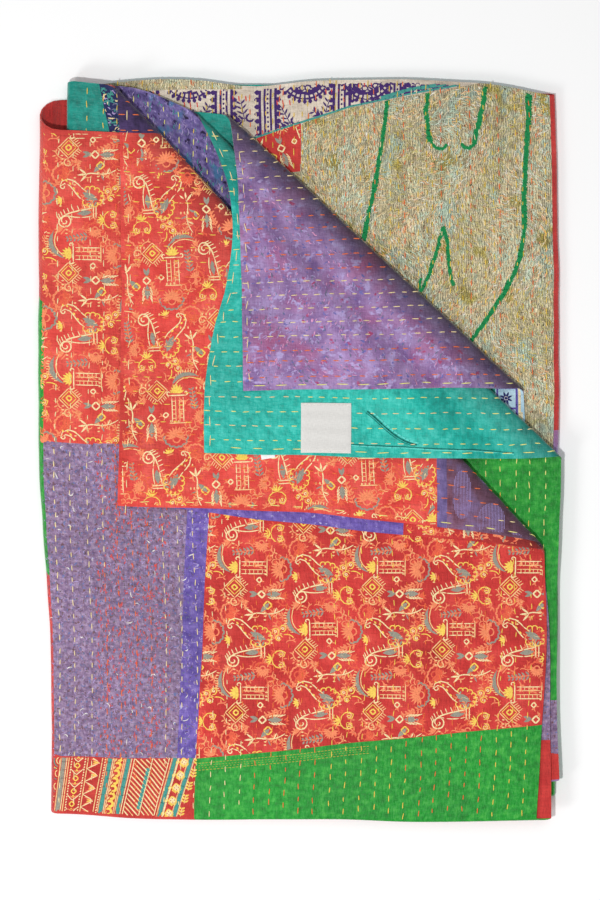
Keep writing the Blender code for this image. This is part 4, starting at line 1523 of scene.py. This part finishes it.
def border_print():
    """Bands that lean down to the left, ever more, and what fills the strips between them."""
    art = []

    def at(x, y):
        """A place at this height on the leaning line that starts from x at the head."""
        return x - (0.1 + 0.0016 * (x + 214)) * (BORDER_HEAD - y), y

    def line(x, width, colour, top=BORDER_HEAD, foot=BORDER_FOOT):
        """A band or a thin line along such a leaning line."""
        art.extend(ribbon([at(x, top + 1), at(x, foot)], width, colour))

    for x in (-203, -163, -147, -107, -93):
        line(x, 3.4, "sea" if x > -200 else "ash")
        for side in (1, -1):
            line(x + 2.6 * side, 0.7, "cream" if side > 0 else "peach")
    for x in (-198.5, -182, -169.6, -159, -151, -142, -126.4, -112, -103.6):
        line(x, 0.8, "cream" if x > -150 else "peach")
    for y in np.arange(BORDER_HEAD, BORDER_FOOT, -2.3):
        for x in (-167.4, -184.6, -196.4):
            art.append(leaf(*at(x, y), 60, 1.9, 1.1, "cream"))
    for y in np.arange(BORDER_HEAD - 1, BORDER_FOOT, -11.0):
        for inset, colour in ((0, "cream"), (2.4, "salmon"), (4.6, "yellow")):
            art += [stroke([at(-182 + inset, y - inset), at(-171 - inset / 4, y - 5.5),
                            at(-182 + inset, y - 11 + inset)], 0.9, colour),
                    stroke([at(-184.6 - inset, y - inset / 2), at(-190.5, y - 5.5 + inset),
                            at(-196 + inset, y - inset / 2)], 0.8, colour)]
        art += moved(diamond(0, 0, 2.4, 1.0, "yellow"), *at(-190.5, y - 8.4))
        art += moved(combed_diamond("yellow", "cream"), *at(-98.5, y - 5), 8, 0.42)
        art += moved(spray("peach", "yellow", 3), *at(-87, y - 8), -10, 0.8)
        for radius, colour in ((3, "peach"), (5.4, "sea"), (7.6, "yellow")):
            art.append(stroke(arc(*at(-206, y - 4), radius, 110, 250), 0.9, colour))
    for y in np.arange(BORDER_HEAD - 2, BORDER_FOOT, -6.6):
        art += [stroke(arc(*at(-155.4, y), 2.5, 140, -120), 2.3, "yellow"),
                leaf(*at(-158.4, y - 3.2), 60, 3.6, 1.2, "peach")]
    for k, y in enumerate(np.arange(BORDER_HEAD + 12, BORDER_FOOT - 4, -3.7)):
        tone = ("cream", "peach")[k % 2]
        art += [stroke([at(-141.4, y), at(-127, y - 12)], 1.1, tone),
                stroke([at(-125.6, y), at(-112.6, y - 12)], 1.1, tone)]
    line(-128.4, 3.0, "sea", BORDER_HEAD - 12, BORDER_FOOT + 16)
    return art


laid_strokes("border_print", "P0", "front", [arrayed(border_print())],
             within("P0", "front", ["border"]), rise=0.12, spill=0.02)

# %% [markdown]
# ## The shawl patch and the linen
# Under the turned corners lies an old jamawar shawl, woven so finely in tan, olive and mint that the eye
# only sees a shimmer, with long green lines that once framed its mangoes. Above its seam is a coarse linen
# with a deep purple border print.

# %% Shawl and linen
def shown_fifth(x, y):
    """What is seen of the fifth ply: beyond the turned corners, and along its hem."""
    return (beyond("lower", x, y) > -7) | (y > 268)


SHAWL_ZONES = (["sand", "olive", "moss", "bronze", "olive"],
               ["sand", "peach", "apricot", "white", "sand", "olive"],
               ["mint", "white", "mint", "mint", "sand", "peach"])
for number, (count, seed, length, width) in enumerate(((9000, 51, 4.6, 0.5), (11000, 41, 3.2, 0.6))):
    laid_strokes("shawl_weave_%d" % number, "P4", "front",
                 [flecks(count, (-175, 219, 5, 322), SHAWL_ZONES, seed, length, width, whorl)],
                 within("P4", "front", ["jamawar"], shown_fifth), rise=0.14)


def green_lines():
    """The long dark green lines of the shawl, listed one by one: a pair of long ones that bend in, two short
    hooks between them at the hem, and a pointed arch below."""
    lines = [
        (bend((76, 306), (71, 262), (66, 240), (55, 182)), 5.0),
        (bend((199, 324), (196, 281), (192, 230), (193, 190)), 5.8),
        (bend((193, 192), (192, 160), (176, 134), (146, 94)), 5.0),
        (bend((113, 320), (108, 296), (107, 280), (112, 266)), 5.4),
        (bend((162, 322), (158, 296), (152, 280), (150, 264)), 5.4),
        (bend((112, 267), (116, 258), (124, 258), (126, 264)), 3.6),
        (bend((150, 265), (146, 259), (140, 260), (139, 265)), 3.6),
        (bend((123, 192), (118, 172), (112, 150), (104, 137)), 4.2),
        (bend((123, 192), (129, 182), (126, 156), (132, 142)), 4.2),
        (bend((104, 138), (102, 144), (104, 148)), 3.0),
    ]
    rng = np.random.default_rng(51)
    art = []
    for points, width in lines:
        for share in (0.74, 0.6, 0.6):
            art += ribbon(points + rng.normal(0, width * 0.11, points.shape), width * share, "jade", 5.0)
    return art


laid_strokes("shawl_lines", "P4", "front", [arrayed(green_lines())],
             within("P4", "front", ["jamawar"], shown_fifth), rise=0.26)


def linen_border():
    """Pairs of upright lines with saw teeth, rounds of rings with beaded rims, and small branches."""
    art = []
    for centre in (-66, -28, 36, 84, 134):
        for side in (1, -1):
            for gap, width in ((2.6, 1.8), (6.8, 2.2)):
                art += ribbon([(centre + side * gap, 334), (centre + side * gap, 258)], width, "indigo")
            art += [leaf(centre + side * 6.4, 259 + 6.2 * k, 90 - side * 90, 5.4, 4.4, "indigo")
                    for k in range(13)]
        art += [leaf(centre, 258 + 4 * k, 90, 2.2, 1.8, "indigo") for k in range(19)]
    for centre in (-140, -96, 4, 58, 108):
        for radius, width in ((21, 1.8), (16, 4.2), (6.4, 4.0)):
            art += [stroke(arc(centre, 324, radius, a, a + 92), width, "indigo") for a in (175, 265)]
        for k in range(17):
            c, t = math.cos(math.radians(176 + 11.8 * k)), math.sin(math.radians(176 + 11.8 * k))
            art += [stroke([(centre + 17 * c, 324 + 17 * t), (centre + 21 * c, 324 + 21 * t)], 1.5,
                           "indigo"),
                    leaf(centre + 21 * c, 324 + 21 * t, 176 + 11.8 * k, 4.4, 3.4, "indigo")]
            if k % 2:
                art.append(stroke(arc(centre + 11.6 * c, 324 + 11.6 * t, 2.4, 0, 340), 1.3, "indigo"))
    for x, y, turn in ((-114, 280, 20), (-86, 282, -24), (-48, 284, 12), (-44, 262, 40), (20, 286, -16),
                       (66, 296, 10), (-8, 280, 30)):
        art += moved(spray("indigo", "indigo", 4), x, y, turn, 1.35)
        art += moved(spray("indigo", "indigo", 3), x, y, turn + 70, 1.2)
        art += moved([stroke(arc(5, 2, 3.2, 90, 330), 1.8, "indigo"), leaf(-4, 0, 120, 6, 3.6, "indigo")],
                     x, y, turn)
    for x, y in ((-58, 306), (-20, 302), (50, 318), (96, 321), (-100, 300), (-150, 316), (22, 312),
                 (-38, 276), (-128, 300)):
        art += [stroke([(x + dx, y), (x + dx + 0.6, y - 4.6)], 1.0, "ember") for dx in (0, 5, 11)]
    return art


laid_strokes("linen_print", "P4", "front", [arrayed(linen_border())],
             within("P4", "front", ["linen"], shown_fifth), rise=0.12)
laid_strokes("seam_edge", "P4", "front",
             [arrayed(ribbon([(-41, 269), (43, 297), (150, 318)], 1.7, "sea")
                      + ribbon([(70, 304), (95, 311), (132, 317)], 3.4, "sea"))],
             shown_fifth, rise=0.3)
laid_strokes("print_scrap", "P4", "front", [all_over(RED, (-42, 0, 230, 290), 20, (6, 14))],
             within("P4", "front", ["red_plain"], lambda x, y: (x < 10) & shown_fifth(x, y)))
laid_strokes("navy_marks", "P1", "back",
             [flecks(420, (-200, -150, 260, 325), ["sea", "sea", "lilac", "cream", "slate"], 61, 4.6, 1.3)],
             within("P1", "back", ["navy_print"]), rise=0.1)


def flower_squares():
    """Eight-petalled flowers, each in a purple frame, and a cream edge beside them."""
    art = []
    for row in (45.5, 28.0, 63.0):
        art += [leaf(176.4, row, turn, 6.0, 1.9, "navy") for turn in range(22, 360, 45)]
        art += [stroke(arc(176.4, row, 1.5, a, a + 175), 0.8, "white") for a in (0, 170)]
        art += ribbon([(167.6, row - 8.8), (185, row - 8.8)], 1.6, "violet")
    for x, width, colour in ((168.4, 1.4, "violet"), (185, 1.8, "violet"), (187.4, 2.0, "sand"),
                             (190, 2.6, "sand")):
        art += ribbon([(x, 70), (x + 1.5, 10)], width, colour)
    return art


laid_strokes("flower_print", "P3", "back", [arrayed(flower_squares())], within("P3", "back", ["floral"]),
             rise=0.12)


def painted_wrinkle_light():
    """The pinched wrinkle in the middle corner as painted shade with a painted highlight on its crest, and
    the line of its turned hem as a painted shadow line with a painted highlight below it.
    """
    pinch = bend((57, 34), (70, 25), (80, 9), (100, 5))
    hem = np.array([(44, 5.6), (90, 3.4), (118, 1.4), (150, 0.2), (184, -1.6)])
    art = []
    # the dark deep lines are painted shade, the light aqua lines painted highlight
    for shift, width, colour in ((0, 1.5, "deep"), (1.5, 1.3, "aqua"), (-1.3, 0.6, "deep")):
        art += ribbon(pinch + (shift, shift * 0.9), width, colour, 4.0)
    return art + ribbon(hem, 0.8, "deep") + ribbon(hem - (0, 1.1), 0.9, "aqua")


laid_strokes("corner_painted_wrinkle_light", "P2", "back", [arrayed(painted_wrinkle_light())],
             lambda x, y: beyond("middle", x, y) > 3, seen=True, rise=0.26)


def woven_leaves():
    """Ovals of fine upright lines, closer where the weft floats."""
    art = []
    for cx, cy, wide, tall in ((139, -38, 8.4, 21), (164, -61, 12, 16), (184, -80, 8, 10),
                               (161, -19, 8, 11)):
        for dx in np.arange(-wide + 0.6, wide, 1.25):
            reach = tall * math.sqrt(1 - (dx / wide) ** 2)
            art += ribbon([(cx + dx, cy - reach), (cx + dx, cy + reach)], 0.45, "mauve", 6.0)
    return art


laid_strokes("woven_leaves", "P1", "front", [arrayed(woven_leaves())],
             within("P1", "front", ["woven"], lambda x, y: beyond("upper", x, y) > 3), seen=True, rise=0.14)


# %% [markdown]
# ## Labels
# A woven label is sewn over the hem of the middle corner, and the tip of a care tag shows below that hem.
# Both are left blank: only the weave, the folded edges and the stitches that hold them are made.

# %% Label and tag
def tape_material(name, colour, ribs):
    """Woven tape: ribs across, finer threads along, and a satin gloss."""
    n = Nodes(name)
    place = n.add("TexCoord", output="Object")
    warp = n.noise(n.mapped(place, (ribs, 300, 1)), 1.0, 2.0)
    weft = n.noise(n.mapped(place, (200, ribs, 1)), 1.0, 2.0)
    both = n.math("MULTIPLY", n.math("ADD", warp, weft), 0.5)
    n.set("Base Color", n.ramp(both, ((0.3, tuple(c * 0.86 for c in colour)),
                                      (0.7, tuple(min(c * 1.06, 1) for c in colour)))))
    n.set("Roughness", 0.55)
    n.set("Sheen Weight", 0.2)
    n.set("Normal", n.add("Bump", {"Strength": 0.35, "Distance": 0.0005, "Height": both}))
    return n.material


def tape_piece(name, ply, face, centre, size, turn, proud, thick, material, node):
    """A closed piece of tape on a turned corner: a fine grid on the cloth, its edges drawn down."""
    count = 25
    s, t = np.meshgrid(np.linspace(-0.5, 0.5, count), np.linspace(-0.5, 0.5, count), indexing="ij")
    a = math.radians(turn)
    x = centre[0] + size[0] * s * math.cos(a) - size[1] * t * math.sin(a)
    y = centre[1] + size[0] * s * math.sin(a) + size[1] * t * math.cos(a)
    edge = np.minimum(0.5 - np.abs(s), 0.5 - np.abs(t))
    fx, fy = unfold(ply, x, y)
    top = proud + thick * (0.35 + 0.65 * smooth(edge / 0.04)) + 0.12 * wander(s * 9, t * 9, 5)
    upper = on_face(ply, face, fx, fy, top)
    lower = on_face(ply, face, fx, fy, np.full_like(top, proud - 0.25))
    index = np.arange(count * count).reshape(count, count)
    flat_quads = np.stack([index[:-1, :-1], index[1:, :-1], index[1:, 1:], index[:-1, 1:]], -1)
    flat_quads = flat_quads.reshape(-1, 4)
    loop = np.concatenate([index[:-1, 0], index[-1, :-1], index[:0:-1, -1], index[0, :0:-1]])
    ahead = np.roll(loop, -1)
    far = count * count
    walls = np.stack([loop, loop + far, ahead + far, ahead], -1)
    quads = np.concatenate([flat_quads, flat_quads[:, ::-1] + far, walls])
    points = np.concatenate([upper.reshape(-1, 3), lower.reshape(-1, 3)])
    a, b, c = (points[flat_quads[:, k]] for k in (0, 1, 2))
    if np.cross(b - a, c - a)[:, 2].mean() < 0:
        quads = quads[:, ::-1]
    piece = mesh_piece(name, points, quads, np.zeros(len(quads)), [material])
    piece.data.set_sharp_from_angle(angle=math.radians(50))
    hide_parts(node)
    return piece


tape_piece("woven_label", "P2", "back", (22, 19), (43, 43), 0.6, 0.35, 0.45,
           tape_material("label_weave", rgb(214, 212, 208), 1400), "label")
tape_piece("care_tag_tape", "P1", "front", (-29, 6), (12, 26), 8, 0.3, 0.3,
           tape_material("tag_satin", rgb(240, 240, 240), 1800), "care_tag")
label_rows = []
for y in (0.6, 38.2):
    label_rows += row_of_dashes(2, y, 42, y, 2.6, 1.9, 0.6, "white")
for y in (-1.2, 39.2):
    label_rows += ribbon([(1.4, y), (42.6, y)], 1.0, "white")
laid_strokes("label_stitching", "P2", "back", [arrayed(label_rows)], everywhere, seen=True, rise=1.0)
